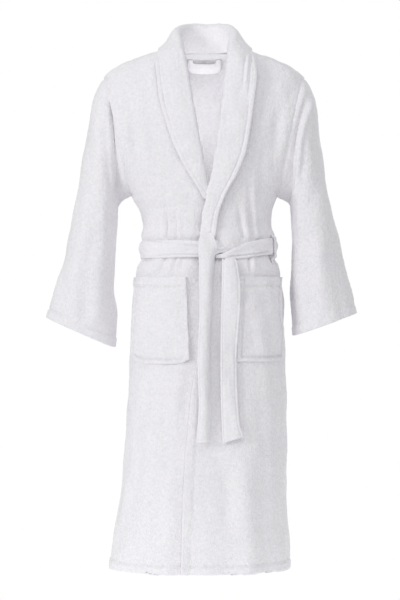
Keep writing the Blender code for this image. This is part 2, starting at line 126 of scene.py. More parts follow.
# The right sleeve's inner side towards the cuff, which flares and droops: x and z at the same places
RIGHT_CUFF = ((0.00, 0.0, 0.0), (0.70, 0.0, 0.0), (0.90, -0.0095, -0.001), (1.00, -0.0085, -0.015))
# The right sleeve hangs a little wider and lower: how much at the cuff
SLEEVE_SPREAD = {1: 0.0, -1: 0.013}
SLEEVE_DROP = {1: 0.0, -1: 0.010}
SLEEVE_WAY = (0.975, -0.222)             # x and z of the way out of the armhole, at right angles to it
SLEEVE_ROWS = 138
SLEEVE_COLUMNS = 150

# Shawl collar round the neck: seam, crest and outer edge, from the centre back forwards
COLLAR_NECK = (
    ((0.000, 0.0565, 0.004), (0.000, 0.0660, 0.069), (0.000, 0.097, 0.008)),
    ((0.033, 0.0510, 0.004), (0.030, 0.0600, 0.068), (0.050, 0.091, 0.006)),
    ((0.062, 0.0300, 0.005), (0.049, 0.0360, 0.063), (0.089, 0.062, 0.007)),
    ((0.0765, 0.000, 0.006), (0.061, 0.0000, 0.047), (0.100, 0.012, 0.0020)),
    ((0.0610, -0.026, 0.006), (0.0570, -0.032, 0.025), (0.103, -0.030, -0.0010)),
)
COLLAR_SWELL = (0.006, 0.006, 0.004, -0.001, 0.002)      # of the fall, from the centre back forwards
COLLAR_SHIFT = 0.003     # the crest stands a little to the wearer's left
# Down the front: height of the crest on the front edge, then x and z of the outer edge
COLLAR_FRONT = {
    1: (
        (-0.011, 0.115, -0.043), (-0.050, 0.117, -0.076), (-0.100, 0.112, -0.118),
        (-0.160, 0.103, -0.180), (-0.220, 0.092, -0.235), (-0.280, 0.072, -0.284),
        (-0.330, 0.050, -0.325), (-0.370, 0.035, -0.365), (-0.405, 0.029, -0.402),
        (-0.424, 0.027, -0.423),
    ),
    -1: (
        (-0.011, -0.104, -0.040), (-0.050, -0.101, -0.080), (-0.100, -0.096, -0.118),
        (-0.150, -0.083, -0.165), (-0.200, -0.066, -0.215), (-0.250, -0.045, -0.258),
        (-0.285, -0.028, -0.288), (-0.315, -0.012, -0.313), (-0.338, 0.000, -0.336),
    ),
}
EDGE_WRAP = 0.0035
COLLAR_LIFT = 0.0032
COLLAR_HALF = 0.0031     # half of the two layers together
ROLL = {1: 0.0070, -1: 0.0030}           # how far the fall swells between crest and edge
FALL_SHARES = (0.25, 0.50, 0.75, 1.00)   # places of its points between crest and edge
COLLAR_ROWS = 400
COLLAR_COLUMNS = 56

POCKET_MOUTH_Z = -0.510

BELT_Z = -0.448
BELT_WIDTH = 0.040


# Curves and noise

def keyed(rows, place):
    """Values at places on a smooth curve through rows of (place, value, ...), with no overshoot."""
    table = np.array(rows, float)
    knots = table[:, 0]
    place = np.clip(np.asarray(place, float), knots[0], knots[-1])
    i = np.clip(np.searchsorted(knots, place, side="right") - 1, 0, len(knots) - 2)
    steps = np.diff(knots)
    t = (place - knots[i]) / steps[i]
    found = []
    for column in table.T[1:]:
        rise = np.diff(column) / steps
        slope = np.zeros(len(knots))
        both = rise[:-1] * rise[1:]
        inside = both > 0
        slope[1:-1][inside] = 2 * both[inside] / (rise[:-1] + rise[1:])[inside]
        found.append(
            column[i] * (1 + 2 * t) * (1 - t) ** 2
            + column[i + 1] * t * t * (3 - 2 * t)
            + slope[i] * steps[i] * t * (1 - t) ** 2
            - slope[i + 1] * steps[i] * t * t * (1 - t)
        )
    return found


def smoothstep(low, high, value):
    t = np.clip((np.asarray(value, float) - low) / (high - low), 0, 1)
    return t * t * (3 - 2 * t)


def bell(distance, width):
    return np.exp(-((distance / width) ** 2))


def waves(points, size, seed, count=28):
    """Soft noise of about unit strength: plane waves of about one length, turned at random.
    size is their length along x, y and z, or one length for all three."""
    random = np.random.default_rng(seed)
    total = np.zeros(points.shape[:-1])
    for _ in range(count):
        turn = random.normal(size=3)
        turn *= random.uniform(0.75, 1.35) / np.linalg.norm(turn)
        phase = random.uniform(0, 2 * math.pi)
        total += np.cos(points @ (2 * math.pi * turn / np.array(size)) + phase)
    return total * math.sqrt(2 / count)


def beside(x, z, path):
    """Distance of points from a path of (x, z) points, positive to the left of the way it runs, and
    the share of the path's length where each point is nearest."""
    route = np.array(path, float)
    lengths = np.linalg.norm(np.diff(route, axis=0), axis=1)
    starts = np.concatenate([[0], np.cumsum(lengths)])
    nearest = np.full(x.shape, 1e9)
    along = np.zeros(x.shape)
    side = np.zeros(x.shape)
    for k, length in enumerate(lengths):
        step = (route[k + 1] - route[k]) / length
        dx, dz = x - route[k][0], z - route[k][1]
        t = np.clip(dx * step[0] + dz * step[1], 0, length)
        ox, oz = dx - t * step[0], dz - t * step[1]
        distance = np.hypot(ox, oz)
        closer = distance < nearest
        nearest = np.where(closer, distance, nearest)
        along = np.where(closer, (starts[k] + t) / starts[-1], along)
        side = np.where(closer, np.sign(step[0] * oz - step[1] * ox), side)
    return nearest * side, along


def crease(x, z, path, width, depth, lip=0.0, fade=(0.25, 0.25)):
    """A valley along a path, deepest on the path. A lip stands up to the left of the way the path
    runs. fade is the share of its length over which each end dies out."""
    off, along = beside(x, z, path)
    taper = smoothstep(0, fade[0] + 1e-6, along) * smoothstep(0, fade[1] + 1e-6, 1 - along)
    return taper * (lip * bell(off - 1.7 * width, width) - depth * bell(off, width))


def creases(x, z, table):
    """All the creases of a table whose rows hold path, width, depth, lip and fade."""
    total = np.zeros(x.shape)
    for row in table:
        total += crease(x, z, *row)
    return total


# The body's surface

def in_armhole(z):
    return (z > UNDERARM_Z) & (z < TIP_Z)


def armhole_half_width(z):
    up = (z - UNDERARM_Z) / (TIP_Z - UNDERARM_Z)
    return UNDERARM_HALF_WIDTH + (TIP_HALF_WIDTH - UNDERARM_HALF_WIDTH) * up


def armhole_depth(face, z):
    middle = (TIP_Z + UNDERARM_Z) / 2
    half = (TIP_Z - UNDERARM_Z) / 2
    return ARMHOLE_DEPTH[face] * np.sqrt(np.maximum(0.0, 1 - ((z - middle) / half) ** 2))


def ring(face, z):
    """Centre, half width and depth of the body's ring. Across the armhole it is wide enough to
    pass through the armhole's oval."""
    z = np.asarray(z, float)
    centre, half_width, front, back = keyed(TORSO, z)
    depth = front if face < 0 else back
    cut = 1 - np.minimum(armhole_depth(face, z) / depth, 0.999) ** SQUARENESS
    wide = armhole_half_width(z) / cut ** (1 / SQUARENESS)
    return centre, np.where(in_armhole(z), wide, half_width), depth


def body_point(face, z, angle):
    centre, half_width, depth = ring(face, z)
    across = np.sign(np.cos(angle)) * np.abs(np.cos(angle)) ** (2 / SQUARENESS)
    out = np.abs(np.sin(angle)) ** (2 / SQUARENESS)
    x = centre + half_width * across
    return np.stack([x, face * depth * out, np.broadcast_to(z, x.shape)], axis=-1)


def body_normal(face, z, angle):
    """Normal of the body's surface, from the slope of the ring's equation."""
    point = body_point(face, z, angle)
    x, y = point[..., 0], point[..., 1]
    z = np.broadcast_to(z, x.shape)

    def inside(height):
        centre, half_width, depth = ring(face, height)
        return (np.abs(x - centre) / half_width) ** SQUARENESS + (np.abs(y) / depth) ** SQUARENESS

    centre, half_width, depth = ring(face, z)
    across = np.sign(x - centre) * (np.abs(x - centre) / half_width) ** (SQUARENESS - 1) / half_width
    out = face * (np.abs(y) / depth) ** (SQUARENESS - 1) / depth
    step = 0.002
    up = (inside(z + step) - inside(z - step)) / (2 * step * SQUARENESS)
    steepest = 12
    normal = np.stack([across, out, np.clip(up, -steepest, steepest)], axis=-1)
    return normal / np.linalg.norm(normal, axis=-1, keepdims=True)


def angle_at(face, z, x):
    centre, half_width, _ = ring(face, z)
    across = np.clip((x - centre) / half_width, -1.0, 1.0)
    return np.arccos(np.sign(across) * np.abs(across) ** (SQUARENESS / 2))


def side_angle(face, z):
    """The angle where a panel starts: at the armhole, or else just off the side seam."""
    centre, _, _ = ring(face, z)
    at_hole = angle_at(face, z, centre + armhole_half_width(z))
    return np.where(in_armhole(z), np.maximum(SIDE_ANGLE, at_hole), SIDE_ANGLE)


def left_edge(z):
    return keyed(LEFT_EDGE, z)[0]


def right_edge(z):
    return keyed(RIGHT_EDGE, z)[0]


def right_sink(x, z):
    """How far the right front drops near the left one's edge and beyond it."""
    edge = left_edge(z)
    return SINK * smoothstep(edge - SINK_START, edge - SINK_END, x)


def from_armhole(x, z):
    """Distance from the armhole line, either side, in a view from the front."""
    lean = (TIP_HALF_WIDTH - UNDERARM_HALF_WIDTH) / (TIP_Z - UNDERARM_Z)
    off = np.abs(np.abs(x - CENTRE_X) - armhole_half_width(z)) / math.hypot(1, lean)
    return np.where(in_armhole(z), off, 1.0)


GATHER_REACH = 0.055
GATHER_SIZE = (0.042, 1.0, 0.30)
GATHER_DEPTH = {-1: 0.0016, 1: 0.0026}   # in front, behind


def gathers(x, z, strength, seed):
    """Small upright pleats where the belt draws the cloth in, dying out above and below it."""
    near = np.exp(-np.abs(z - BELT_Z) / GATHER_REACH)
    points = np.stack([x, np.zeros_like(x), z], axis=-1)
    return strength * near * waves(points, GATHER_SIZE, seed)


FRONT_CREASES = (
    # path of (x, z), width, depth, lip, fade
    (((-0.084, -0.290), (-0.083, -0.358), (-0.0815, -0.428)), 0.0040, 0.0080, 0.0035, (0.4, 0.05)),
    (((-0.061, -0.345), (-0.0595, -0.385), (-0.0585, -0.430)), 0.0040, 0.0055, 0.0025, (0.4, 0.05)),
    (((-0.083, -0.464), (-0.091, -0.486), (-0.101, -0.512)), 0.0042, 0.0085, -0.0030, (0.05, 0.4)),
    (((-0.0605, -0.464), (-0.063, -0.484), (-0.063, -0.508)), 0.0042, 0.0065, 0.0030, (0.05, 0.4)),
    (((0.099, -0.270), (0.1055, -0.372), (0.108, -0.428)), 0.0060, 0.0100, 0.0045, (0.4, 0.05)),
    (((0.076, -0.330), (0.083, -0.380), (0.090, -0.428)), 0.0060, 0.0055, 0.0030, (0.4, 0.05)),
    (((0.1010, -0.464), (0.1020, -0.484), (0.1040, -0.505)), 0.0045, 0.0065, 0.0030, (0.05, 0.5)),
    (((-0.196, -0.100), (-0.188, -0.180), (-0.180, -0.300)), 0.0100, 0.0030, 0.0020, (0.4, 0.4)),
    (((-0.160, -0.130), (-0.152, -0.220), (-0.146, -0.330)), 0.0120, 0.0025, 0.0020, (0.4, 0.4)),
    (((0.172, -0.110), (0.158, -0.210), (0.150, -0.300)), 0.0140, 0.0050, 0.0030, (0.4, 0.4)),
    (((0.140, -0.180), (0.128, -0.270), (0.130, -0.360)), 0.0110, 0.0035, 0.0020, (0.4, 0.4)),
    (((-0.120, -0.700), (-0.140, -0.860), (-0.165, -1.100)), 0.0180, 0.0045, 0.0035, (0.3, 0.2)),
    (((-0.072, -0.760), (-0.085, -0.920), (-0.100, -1.165)), 0.0220, 0.0035, 0.0025, (0.4, 0.0)),
    (((0.118, -0.700), (0.128, -0.860), (0.140, -1.165)), 0.0220, 0.0050, 0.0035, (0.3, 0.0)),
    (((0.040, -0.860), (0.050, -0.990), (0.060, -1.165)), 0.0240, 0.0035, 0.0030, (0.4, 0.0)),
    (((0.158, -0.700), (0.166, -0.900), (0.176, -1.120)), 0.0140, 0.0045, 0.0030, (0.3, 0.2)),
)

BACK_CREASES = (
    (((0.035, -0.050), (0.018, -0.100), (-0.004, -0.160)), 0.0035, 0.0035, 0.0015, (0.2, 0.5)),
    (((0.150, -0.120), (0.120, -0.250), (0.080, -0.420)), 0.0160, 0.0050, 0.0030, (0.4, 0.1)),
    (((-0.150, -0.130), (-0.125, -0.260), (-0.090, -0.420)), 0.0160, 0.0050, -0.0030, (0.4, 0.1)),
    (((0.060, -0.180), (0.045, -0.300), (0.030, -0.425)), 0.0130, 0.0040, 0.0020, (0.5, 0.1)),
    (((-0.040, -0.220), (-0.035, -0.320), (-0.028, -0.425)), 0.0120, 0.0040, 0.0020, (0.5, 0.1)),
    (((0.070, -0.470), (0.090, -0.700), (0.110, -1.165)), 0.0200, 0.0070, 0.0040, (0.1, 0.0)),
    (((-0.060, -0.470), (-0.080, -0.720), (-0.105, -1.165)), 0.0200, 0.0070, 0.0040, (0.1, 0.0)),
    (((0.010, -0.470), (0.012, -0.700), (0.015, -1.165)), 0.0240, 0.0060, 0.0040, (0.1, 0.0)),
    (((-0.125, -0.470), (-0.140, -0.700), (-0.160, -1.100)), 0.0160, 0.0050, 0.0030, (0.1, 0.2)),
    (((0.130, -0.470), (0.140, -0.700), (0.158, -1.100)), 0.0160, 0.0050, 0.0030, (0.1, 0.2)),
)


def drape(face, points):
    """How far the body's cloth stands out from the plain form: creases, gathers and soft folds."""
    x, z = points[..., 0], points[..., 2]
    total = creases(x, z, FRONT_CREASES if face < 0 else BACK_CREASES)
    total += gathers(x, z, GATHER_DEPTH[face], 11)
    # long folds that grow towards the hem, and short ones all over
    towards_hem = smoothstep(-0.55, -1.10, z)
    total += (0.0010 + 0.0022 * towards_hem) * waves(points, (0.105, 0.30, 0.80), 5)
    total += 0.0010 * waves(points, (0.050, 0.06, 0.11), 6)
    # the belt presses the cloth flat, and it swells above and below it
    under_belt = bell(np.abs(z - BELT_Z), 0.021)
    total = total * (1 - 0.75 * under_belt) - 0.0015 * under_belt
    swell_off = 0.034
    swell_width = 0.012
    total += 0.0042 * bell(z - BELT_Z - swell_off, swell_width)
    total += 0.0048 * bell(z - BELT_Z + swell_off, swell_width)
    if face < 0:
        under_collar = smoothstep(0.130, 0.095, np.abs(x - CENTRE_X)) * smoothstep(-0.41, -0.34, z)
        total *= 1 - 0.65 * under_collar
        # the cloth that the knot bunches up, and the ease over the pocket mouths
        total += 0.0150 * bell(x - 0.052, 0.030) * bell(z + 0.4375, 0.0170)
        total += 0.0026 * bell(z - POCKET_MOUTH_Z - swell_width, swell_width)
    return total * smoothstep(0.002, 0.030, from_armhole(x, z))


def pile(points):
    """The small unevenness of pile that has been washed: clumps of loops a few millimetres wide."""
    clumps = 0.00026 * waves(points, 0.0095, 21)
    return clumps + 0.00008 * waves(points, 0.022, 22)


# Building cloth

def spread(count, length):
    """Shares from 0 to 1, closer together at the ends so that an edge can be rounded."""
    low = EDGE_PLACES / length
    high = 1 - low[::-1]
    return np.concatenate([low[:-1], np.linspace(low[-1], high[0], count), high[1:]])


def grid_normals(points, around=False):
    """Normals of a grid of points, which may close on itself round its columns."""
    if around:
        across = np.roll(points, -1, axis=1) - np.roll(points, 1, axis=1)
    else:
        across = np.gradient(points, axis=1)
    along = np.gradient(points, axis=0)
    normal = np.cross(across, along)
    return normal / np.maximum(np.linalg.norm(normal, axis=-1, keepdims=True), 1e-12)


def edge_distance(points, around=False):
    """Distance along the cloth from its nearest open edge."""
    down = np.linalg.norm(np.diff(points, axis=0), axis=-1)
    below = np.concatenate([np.zeros((1, points.shape[1])), np.cumsum(down, axis=0)])
    nearest = np.minimum(below, below[-1] - below)
    if around:
        return nearest
    over = np.linalg.norm(np.diff(points, axis=1), axis=-1)
    left = np.concatenate([np.zeros((points.shape[0], 1)), np.cumsum(over, axis=1)], axis=1)
    return np.minimum(nearest, np.minimum(left, left[:, -1:] - left))


def cloth(name, middle, half, facing, material, around=False, raised=0.0):
    """A closed layer of cloth about a grid of points, half thick on either side and round at its
    open edges. facing is 1 or -1, so that the outer side comes from the grid's normals; raised
    lifts the outer side only."""
    normals = grid_normals(middle, around) * facing
    reach = np.clip(edge_distance(middle, around) / half, 0, 1)
    taper = np.sqrt(1 - (1 - reach) ** 2)
    outer = middle + normals * (taper * (half + raised))[..., None]
    inner = middle - normals * (taper * half)[..., None]
    rows, columns = middle.shape[:2]
    first = np.arange(rows * columns).reshape(rows, columns)
    border = np.zeros((rows, columns), bool)
    border[0] = border[-1] = True
    if not around:
        border[:, 0] = border[:, -1] = True
    second = first.copy()
    second[~border] = rows * columns + np.arange((~border).sum())
    points = np.concatenate([outer.reshape(-1, 3), inner[~border]])
    faces = []
    for index, turn in ((first, 1), (second, -1)):
        right = np.roll(index, -1, axis=1) if around else index[:, 1:]
        left = index if around else index[:, :-1]
        quads = np.stack([left[:-1], right[:-1], right[1:], left[1:]], axis=-1).reshape(-1, 4)
        faces.append(quads[:, ::-1] if turn * facing < 0 else quads)
    return piece(name, points, np.concatenate(faces), material)


def piece(name, points, faces, material):
    """A smooth object with its place in its mesh."""
    mesh = bpy.data.meshes.new(name)
    mesh.vertices.add(len(points))
    mesh.vertices.foreach_set("co", np.asarray(points, np.float32).ravel())
    faces = np.asarray(faces)
    mesh.loops.add(faces.size)
    mesh.loops.foreach_set("vertex_index", faces.ravel().astype(np.int32))
    mesh.polygons.add(len(faces))
    mesh.polygons.foreach_set("loop_start", np.arange(0, faces.size, faces.shape[1], dtype=np.int32))
    mesh.update(calc_edges=True)
    mesh.validate()
    outward(mesh)
    mesh.shade_smooth()
    obj = bpy.data.objects.new(name, mesh)
    bpy.context.scene.collection.objects.link(obj)
    mesh.materials.append(material)
    return obj


def outward(mesh):
    """Turns a closed mesh's faces outwards."""
    builder = bmesh.new()
    builder.from_mesh(mesh)
    if builder.calc_volume(signed=True) < 0:
        bmesh.ops.reverse_faces(builder, faces=builder.faces)
        builder.to_mesh(mesh)
    builder.free()


# Panels

def panel_heights(low, high, step):
    """Heights at even steps along the cloth, closer together where the shoulder slopes."""
    fine = np.linspace(low, high, 3000)
    half_width = keyed(TORSO, fine)[1]
    run = np.hypot(np.diff(fine), 0.9 * np.abs(np.diff(half_width)))
    length = np.concatenate([[0], np.cumsum(run)])
    shares = spread(int(length[-1] / step), length[-1])
    return np.interp(shares * length[-1], length, fine)


def body_grid(face, first, last, columns, width):
    """A panel's points on the body's form, and the normals there. Its first and last angle are
    functions of the height."""
    heights = panel_heights(HEM_Z, NECK_Z, PANEL_STEP)
    shares = spread(columns, width)
    starts, ends = first(heights)[:, None], last(heights)[:, None]
    angles = starts + (ends - starts) * shares[None, :]
    heights = heights[:, None] * np.ones_like(angles)
    return body_point(face, heights, angles), body_normal(face, heights, angles)


def hem_relief(distance, hem=HEM, swell=0.0016):
    """A turned-up hem: twice the cloth up to its stitching, which is drawn in."""
    doubled = swell * smoothstep(hem + 0.001, hem - 0.004, distance)
    return doubled - 0.0022 * bell(distance - hem, 0.0018)


def seam_dip(distance, depth=0.0028, width=0.0035):
    return -depth * bell(distance, width)


def panel_relief(base):
    """The pile, the bottom hem, and the dips at the side seam and the armhole seam."""
    x, y, z = base[..., 0], base[..., 1], base[..., 2]
    relief = pile(base) + hem_relief(z - HEM_Z)
    return relief + seam_dip(y) + seam_dip(from_armhole(x, z) - 0.004, 0.0016, 0.0026)


def make_back():
    def first(z):
        return side_angle(1, z)

    def last(z):
        return math.pi - side_angle(1, z)

    base, normals = body_grid(1, first, last, 118, 0.35)
    middle = base + normals * (drape(1, base) - INSET)[..., None]
    facing = panel_facing(middle, 1)
    obj = cloth("back", middle, TERRY / 2, facing, TERRY_CLOTH, raised=panel_relief(base))
    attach(obj, "robe")
    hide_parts("back_panel")


def panel_facing(middle, side):
    """1 or -1, so that the grid's normals point to the front (-1) or to the back (1)."""
    normals = grid_normals(middle)
    return 1 if np.mean(normals[..., 1]) * side > 0 else -1


def make_left_front():
    def first(z):
        return side_angle(-1, z)

    def last(z):
        return angle_at(-1, z, left_edge(z))

    base, normals = body_grid(-1, first, last, 84, 0.28)
    middle = base + normals * (drape(-1, base) - INSET)[..., None]
    x, z = base[..., 0], base[..., 2]
    below_collar = smoothstep(-0.40, -0.44, z)
    raised = panel_relief(base) + below_collar * hem_relief(x - left_edge(z), hem=FRONT_HEM)
    obj = cloth("left_front", middle, TERRY / 2, panel_facing(middle, -1), TERRY_CLOTH, raised=raised)
    fold_top = Vector((float(left_edge(CORNER_TOP_Z)), CORNER_Y, CORNER_TOP_Z))
    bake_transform(obj)
    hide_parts("left_front_panel", "left_front_corner")


def make_right_front():
    def first(z):
        return math.pi - side_angle(-1, z)

    def last(z):
        return angle_at(-1, z, right_edge(z))

    base, normals = body_grid(-1, first, last, 100, 0.34)
    lift = drape(-1, base) - INSET - right_sink(base[..., 0], base[..., 2])
    middle = base + normals * lift[..., None]
    facing = panel_facing(middle, -1)
    obj = cloth("right_front", middle, TERRY / 2, facing, TERRY_CLOTH, raised=panel_relief(base))
    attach(obj, "robe")
    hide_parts("right_front_panel")


# Sleeves

def from_armhole_line(x, z, side):
    """Distance outwards from the armhole, in a view from the front, level with it or below."""
    lean = (TIP_HALF_WIDTH - UNDERARM_HALF_WIDTH) / (TIP_Z - UNDERARM_Z)
    line = UNDERARM_HALF_WIDTH + (np.maximum(z, UNDERARM_Z) - UNDERARM_Z) * lean
    return np.maximum(0.0, side * (x - CENTRE_X) - line)


# The first is the line of the fold that hangs from the shoulder
SLEEVE_CREASES = {
    1: (
        (((0.2360, -0.088), (0.2160, -0.160), (0.2070, -0.209), (0.2010, -0.292), (0.1990, -0.345)),
         0.0055, 0.0075, 0.0070, (0.25, 0.10)),
        (((0.2400, -0.110), (0.2520, -0.220), (0.2600, -0.330)), 0.0160, 0.0035, 0.0030, (0.4, 0.5)),
        (((0.2250, -0.330), (0.2300, -0.450), (0.2380, -0.600)), 0.0160, 0.0040, 0.0030, (0.4, 0.1)),
        (((0.2750, -0.360), (0.2920, -0.480), (0.3100, -0.620)), 0.0180, 0.0030, 0.0025, (0.4, 0.1)),
    ),
    -1: (
        (((-0.2175, -0.090), (-0.2055, -0.142), (-0.1975, -0.215), (-0.1940, -0.290), (-0.1930, -0.345)),
         0.0050, 0.0120, -0.0070, (0.15, 0.10)),
        (((-0.2230, -0.130), (-0.2140, -0.240), (-0.2010, -0.350)), 0.0090, 0.0035, -0.0025, (0.3, 0.4)),
        (((-0.2450, -0.330), (-0.2560, -0.460), (-0.2680, -0.620)), 0.0180, 0.0035, 0.0030, (0.4, 0.1)),
        (((-0.2900, -0.330), (-0.3080, -0.460), (-0.3260, -0.600)), 0.0180, 0.0025, 0.0025, (0.4, 0.1)),
    ),
}


def sleeve_form(side):
    """The plain tube: the place of each row along it, its points, and how far each point faces
    outwards and to the back."""
    places = spread(SLEEVE_ROWS, 0.50)
    outer_x, outer_z, inner_x, inner_z, half_depth = keyed(SLEEVE, places)
    outer_x = outer_x + SLEEVE_SPREAD[side] * places
    inner_x = inner_x + SLEEVE_SPREAD[side] * places
    outer_z = outer_z - SLEEVE_DROP[side] * places
    inner_z = inner_z - SLEEVE_DROP[side] * places
    if side < 0:
        inward, down = keyed(RIGHT_CUFF, places)
        inner_x = inner_x + inward
        inner_z = inner_z + down
    level = np.zeros_like(places)
    outer = np.stack([side * (outer_x - CENTRE_X) + CENTRE_X, level, outer_z], axis=-1)
    inner = np.stack([side * (inner_x - CENTRE_X) + CENTRE_X, level, inner_z], axis=-1)
    middle = (outer + inner) / 2
    reach = (outer - inner) / 2
    turns = 2 * math.pi * np.arange(SLEEVE_COLUMNS) / SLEEVE_COLUMNS
    # a little fuller than an ellipse away from the shoulder
    power = 1 - 0.08 * smoothstep(0.0, 0.5, places)[:, None]
    outwards, backwards = np.cos(turns)[None, :], np.sin(turns)[None, :]
    outwards = np.sign(outwards) * np.abs(outwards) ** power
    backwards = np.sign(backwards) * np.abs(backwards) ** power
    base = middle[:, None, :] + reach[:, None, :] * outwards[..., None]
    base[..., 1] += half_depth[:, None] * backwards
    return places, base, outwards, backwards


def sleeve_drape(side, places, base, outwards, backwards):
    """How far the sleeve's cloth stands out from the plain tube. The folds are weaker behind."""
    x, z = base[..., 0], base[..., 2]
    front = smoothstep(0.1, -0.3, backwards)
    outer_side = smoothstep(0.1, 0.9, outwards)
    lift = 0.0080 * outer_side * bell(places - 0.09, 0.11)[:, None]
    for path, width, depth, lip, fade in SLEEVE_CREASES[side]:
        lift += front * crease(x, z, path, width, depth, lip, fade)
        lift += (1 - front) * 0.5 * crease(x, z, path, width * 1.3, depth, lip, fade)
    # between the shoulder's fold and the armhole the cloth falls back
    fold, along = beside(x, z, SLEEVE_CREASES[side][0][0])
    fallen = smoothstep(1.0, 0.97, along) * smoothstep(0.0, 0.12, along)
    inwards = smoothstep(0.0, 0.007, -fold * side)
    inwards = inwards * smoothstep(0.0, 0.022, from_armhole_line(x, z, side))
    lift -= 0.0110 * front * fallen * inwards
    lift += 0.0013 * waves(base, (0.075, 0.09, 0.22), 31 + side)
    lift += 0.0010 * waves(base, (0.045, 0.05, 0.09), 41 + side)
    return lift * smoothstep(-0.05, 0.05, places)[:, None]


def above_cuff(base):
    """Distance along the sleeve from its last row."""
    steps = np.linalg.norm(np.diff(base, axis=0), axis=-1)
    from_head = np.concatenate([np.zeros((1, base.shape[1])), np.cumsum(steps, axis=0)])
    return from_head[-1:] - from_head


def make_sleeve(name, node, side):
    places, base, outwards, backwards = sleeve_form(side)
    normals = grid_normals(base, around=True)
    facing = 1 if np.mean(normals[..., 1] * backwards) > 0 else -1
    normals = normals * facing
    lift = sleeve_drape(side, places, base, outwards, backwards)
    inset = INSET + 0.0016 * smoothstep(0.010, 0.0, places)[:, None]
    centre = base + normals * (lift - inset)[..., None]
    # the head of the sleeve tucks in under the body's edge, its first rows least spread
    out = np.array([SLEEVE_WAY[0] * side, 0, SLEEVE_WAY[1]])
    tuck = out * 0.0070
    centre[0] -= tuck
    centre[1:5] -= tuck * np.array([1.0, 0.9, 0.75, 0.5])[:, None, None]
    raised = pile(base) + hem_relief(above_cuff(base), hem=CUFF_HEM)
    obj = cloth(name, centre, TERRY / 2, facing, TERRY_CLOTH, around=True, raised=raised)
    out = Vector(out)
    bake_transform(obj)
    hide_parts(node)


# Collar

def collar_neck_row(side, swell, seam, crest, edge):
    """Points across the collar behind the neck, from the seam over the crest to the outer edge."""
    flip = np.array([side, 1, 1])
    shift = np.array([CENTRE_X, 0, 0])
    seam, crest, edge = (np.array(point) * flip + shift for point in (seam, crest, edge))
    crest[0] += COLLAR_SHIFT
    edge[0] += COLLAR_SHIFT * 0.5
    out = np.array([edge[0] - crest[0], edge[1] - crest[1], 0])
    out /= np.linalg.norm(out)
    rolled = crest + out * 0.008
    stand = (seam + crest) / 2 - out * 0.001
    row = [seam, stand, crest - np.array([0, 0, 0.005]), crest + out * 0.003, rolled]
    for t in FALL_SHARES:
        row.append(rolled * (1 - t) + edge * t + out * swell * math.sin(math.pi * t))
    return row


def collar_front_row(side, crest_z, edge_x, edge_z):
    """Points across the collar on the front, from under the front edge over it to the outer edge."""
    crest_x = float(left_edge(crest_z) if side > 0 else right_edge(crest_z))
    fall_lift = COLLAR_LIFT * (1 + float(smoothstep(-0.080, -0.011, crest_z)))
    width = math.hypot(edge_x - crest_x, edge_z - crest_z)
    roll = ROLL[side] * min(1.0, width / 0.06)
    edge_lift = 0.0
    if side > 0:
        edge_lift = 0.0090 * float(smoothstep(-0.02, -0.07, crest_z) * smoothstep(-0.40, -0.34, crest_z))

    def on_front(x, z, lift):
        drop = float(right_sink(x, z)) if side < 0 else 0.0
        angle = angle_at(-1, z, x)
        point = body_point(-1, np.array(z), angle)
        return point + body_normal(-1, np.array(z), angle) * (lift - drop + float(drape(-1, point)))

    row = []
    for reach, lift in ((1.0, 0.15), (1.05, 0.4), (0.95, 0.65), (0.6, 0.9), (0.0, 1.0)):
        x = crest_x - side * EDGE_WRAP * reach
        row.append(on_front(x, crest_z, fall_lift * lift + roll * lift * 0.35))
    for t in FALL_SHARES:
        x = crest_x + (edge_x - crest_x) * t
        swell = roll * (1 - t) ** 0.6 * (0.6 + 0.4 * math.sin(math.pi * t))
        swell += edge_lift * t * t
        row.append(on_front(x, crest_z + (edge_z - crest_z) * t, fall_lift + swell))
    return row


def smooth_grid(rows, row_count, column_count):
    """A fine grid of points through a coarse one, along Catmull-Rom curves both ways."""
    grid = np.array(rows, float)
    for axis, count in ((0, row_count), (1, column_count)):
        lines = np.moveaxis(grid, axis, 0)
        mean = np.linalg.norm(np.diff(lines, axis=0), axis=-1).mean(axis=1)
        knots = np.concatenate([[0], np.cumsum(mean)])
        places = spread(count, knots[-1]) * knots[-1]
        i = np.clip(np.searchsorted(knots, places, side="right") - 1, 0, len(knots) - 2)
        t = ((places - knots[i]) / (knots[i + 1] - knots[i]))[:, None, None]
        last = len(knots) - 1
        p0, p1 = lines[np.maximum(i - 1, 0)], lines[i]
        p2, p3 = lines[i + 1], lines[np.minimum(i + 2, last)]
        gap = (knots[i + 1] - knots[i])[:, None, None]
        before = (knots[i] - knots[np.maximum(i - 1, 0)])[:, None, None]
        after = (knots[np.minimum(i + 2, last)] - knots[i + 1])[:, None, None]
        slope1 = np.where(before > 0, (p2 - p0) / np.maximum(gap + before, 1e-9) * gap, p2 - p1)
        slope2 = np.where(after > 0, (p3 - p1) / np.maximum(gap + after, 1e-9) * gap, p2 - p1)
        lines = (
            p1 * (1 + 2 * t) * (1 - t) ** 2 + p2 * t * t * (3 - 2 * t)
            + slope1 * t * (1 - t) ** 2 - slope2 * t * t * (1 - t)
        )
        grid = np.moveaxis(lines, 0, axis)
    return grid


COLLAR_CREASES = (
    (((0.094, -0.010), (0.0900, -0.068), (0.0840, -0.118)), 0.0030, 0.0026, 0.0022, (0.2, 0.5)),
    (((0.104, -0.020), (0.1040, -0.071), (0.1000, -0.106), (0.0960, -0.155)),
     0.0026, 0.0024, 0.0020, (0.2, 0.5)),
    (((-0.085, -0.300), (-0.060, -0.330), (-0.030, -0.345)), 0.0050, 0.0012, 0.0010, (0.4, 0.4)),
    (((-0.090, -0.150), (-0.070, -0.220), (-0.045, -0.275)), 0.0100, 0.0016, 0.0012, (0.4, 0.4)),
)


